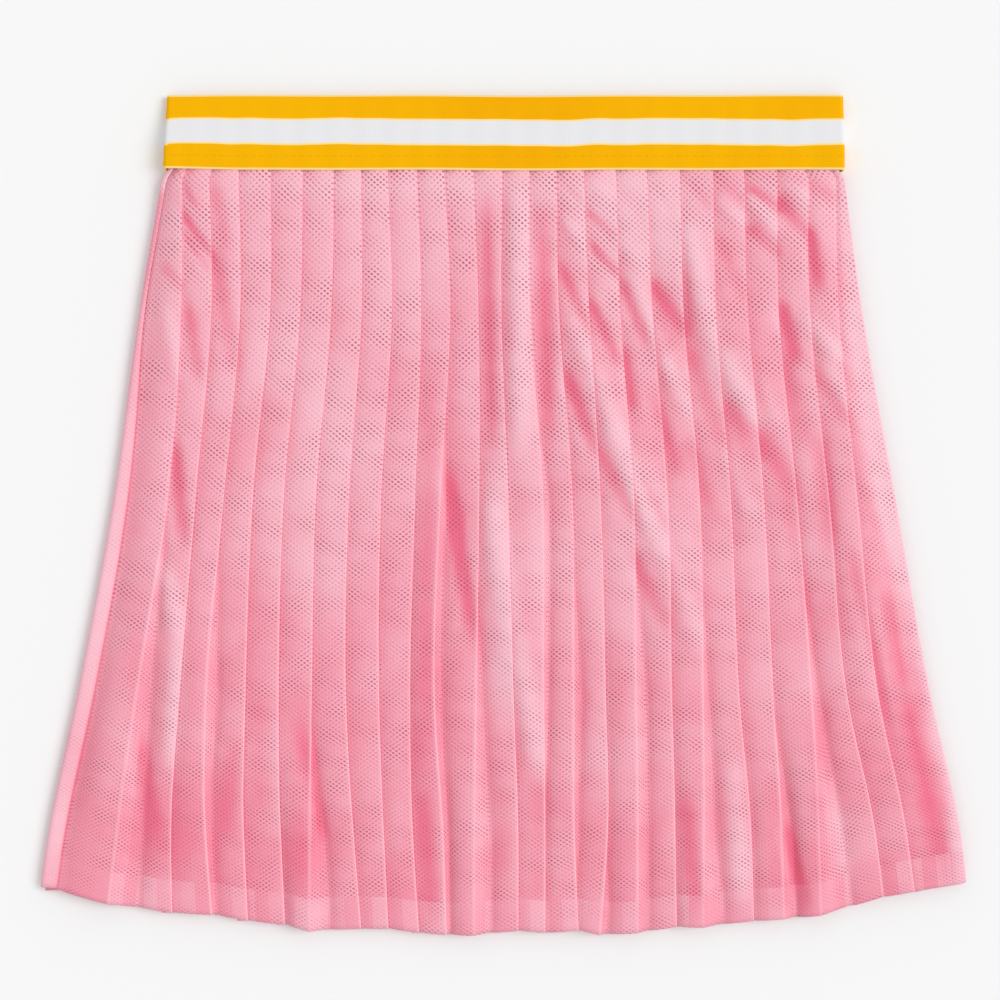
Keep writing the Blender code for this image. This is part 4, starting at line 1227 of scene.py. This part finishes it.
def striped_elastic(name):
    """The elastic: stripes by the height on the band, whose edges wave a little, and fine woven ribs."""
    material, tree, shader = new_finish(name, {"Roughness": 0.7, "Specular IOR Level": 0.05})
    cloth = node(tree, "ShaderNodeUVMap", uv_map="cloth").outputs["UV"]
    parts = node(tree, "ShaderNodeSeparateXYZ", cloth)
    along = maths(tree, "MULTIPLY", parts.outputs["X"], 1000.0)
    down = maths(tree, "MULTIPLY", parts.outputs["Y"], 1000.0)
    wobble = node(tree, "ShaderNodeTexNoise", None, along, 0.018, 2.0, noise_dimensions="1D").outputs["Fac"]
    waved = maths(tree, "ADD", down, centred(tree, wobble, 3.4))

    def stripe(height, low, high):
        """1 between two heights and 0 outside them, with soft edges."""
        above = smooth_step(tree, height, low - STRIPE_SOFT, low + STRIPE_SOFT)
        below = smooth_step(tree, height, high - STRIPE_SOFT, high + STRIPE_SOFT)
        return maths(tree, "SUBTRACT", above, below)

    yellow = mixed(tree, smooth_step(tree, noise(tree, cloth, 9.0, 2.0), 0.35, 0.75), YELLOW, AMBER)
    colour = mixed(tree, stripe(waved, STRIPE, 2 * STRIPE), yellow, WHITE)
    for edge, width in PALE_LINES:
        height = waved if edge in (1, 2) else down
        pale = stripe(height, edge * STRIPE - width / 2, edge * STRIPE + width / 2)
        colour = mixed(tree, pale, colour, CREAM)
    ribs = maths(tree, "SINE", maths(tree, "MULTIPLY", along, 2 * np.pi / RIB))
    picks = maths(tree, "SINE", maths(tree, "MULTIPLY", down, 2 * np.pi / PICK))
    woven = maths(tree, "ADD", ribs, maths(tree, "MULTIPLY", picks, 0.6))
    grey = node(tree, "ShaderNodeCombineColor", *[maths(tree, "MULTIPLY_ADD", woven, 0.008, 0.985)] * 3)
    colour = mixed(tree, 1.0, colour, grey.outputs[0], "MULTIPLY")
    tree.links.new(colour, shader.inputs["Base Color"])
    bumped(tree, shader, woven, 0.16, 0.0002)
    return material


STITCH_BELOW_TOP = 31.0
STITCH = 2.6  # each stitch's length
STITCH_STEP = 4.0
STITCH_RADIUS = 0.16
ROD_AT = np.array([0, 0.2, 0.8, 1.0])  # a stitch's rings along its length, and their radii
ROD_RADII = np.array([0.4, 1.0, 1.0, 0.4])
ROD_SIDES = 6
THREAD = (0.93, 0.47, 0.0, 1.0)
THREAD_SHADE = (0.86, 0.39, 0.0, 1.0)


def stitch_row(line, length, step, radius):
    """A row of stitches, one mesh, along a line of points in millimetres, one every step.

    Each is a rod of four rings of six points, ROD_AT along its length, with ROD_RADII times the
    radius. The rings stand in the plane of the band's height and the way out, and are closed at
    both ends.
    """
    along = running(np.linalg.norm(np.diff(line, axis=0), axis=1)[None])[0]
    starts = np.arange(0.5 * step, along[-1] - length, step)
    at = starts[:, None] + length * ROD_AT
    centre = np.stack([np.interp(at, along, line[:, k]) for k in range(3)], axis=2)
    ahead = np.stack([np.interp(at + 0.5, along, line[:, k]) for k in range(3)], axis=2)
    heading = ahead - centre
    heading /= np.linalg.norm(heading, axis=2)[..., None] + 1e-9
    up = np.array([0.0, 1.0, 0.0])
    out = np.cross(heading, up)
    centre += BAND_CLOTH / 2 * out
    centre[..., 2] = np.maximum(centre[..., 2], 1.2 * radius)
    ring = radius * ROD_RADII[None, :, None, None]
    around = np.radians(np.arange(ROD_SIDES) * 360 / ROD_SIDES)[None, None, :, None]
    rods = centre[:, :, None] + ring * (np.cos(around) * up + np.sin(around) * out[:, :, None])
    rings = len(ROD_AT) - 1
    base = ROD_SIDES * len(ROD_AT) * np.arange(len(starts))[:, None, None]
    here = ROD_SIDES * np.arange(rings)[None, :, None] + np.arange(ROD_SIDES)
    after = ROD_SIDES * np.arange(rings)[None, :, None] + (np.arange(ROD_SIDES) + 1) % ROD_SIDES
    sides = np.stack([here, here + ROD_SIDES, after + ROD_SIDES, after], axis=3)
    sides = (base[..., None] + sides).reshape(-1, 4)
    first = base[:, 0] + np.arange(ROD_SIDES)
    ends = first.tolist() + (first[:, ::-1] + ROD_SIDES * rings).tolist()
    mesh = bpy.data.meshes.new("stitches")
    mesh.from_pydata((rods.reshape(-1, 3) * MILLIMETRE).tolist(), [], sides.tolist() + ends)
    mesh.shade_smooth()
    row = bpy.data.objects.new("waistband_stitches", mesh)
    bpy.context.scene.collection.objects.link(row)
    return row


def yellow_thread(name):
    """Polyester thread in the elastic's own yellow, with the slanting bands of its twist."""
    material, tree, shader = new_finish(name, {"Roughness": 0.6, "Specular IOR Level": 0.05})
    place = node(tree, "ShaderNodeTexCoord").outputs["Object"]
    twist = node(tree, "ShaderNodeTexWave", place, 400.0, 0.0, bands_direction="DIAGONAL").outputs["Fac"]
    tree.links.new(mixed(tree, twist, THREAD_SHADE, THREAD), shader.inputs["Base Color"])
    return material


points = band_grid()
points = np.concatenate([points, points[:, :1]], axis=1)  # the last column closes the loop
cloth_u = running(np.linalg.norm(np.diff(points, axis=1), axis=2))
cloth_v = np.repeat(np.linspace(0, BAND_TOP - BAND_BOTTOM, BAND_ROWS)[:, None], points.shape[1], axis=1)
waistband = cloth_mesh("waistband_elastic", points, (cloth_u, cloth_u), cloth_v, {}, BAND_CLOTH)
weld = waistband.modifiers.new("join_the_loop", "WELD")
weld.merge_threshold = 0.00001
waistband.modifiers.move(1, 0)
waistband.data.materials.append(striped_elastic("striped_elastic"))
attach(waistband, "root")
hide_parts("waistband")
stitched_row = round(STITCH_BELOW_TOP / (BAND_TOP - BAND_BOTTOM) * (BAND_ROWS - 1))
stitches = stitch_row(points[stitched_row], STITCH, STITCH_STEP, STITCH_RADIUS)
stitches.data.materials.append(yellow_thread("yellow_thread"))
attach(stitches, "root")
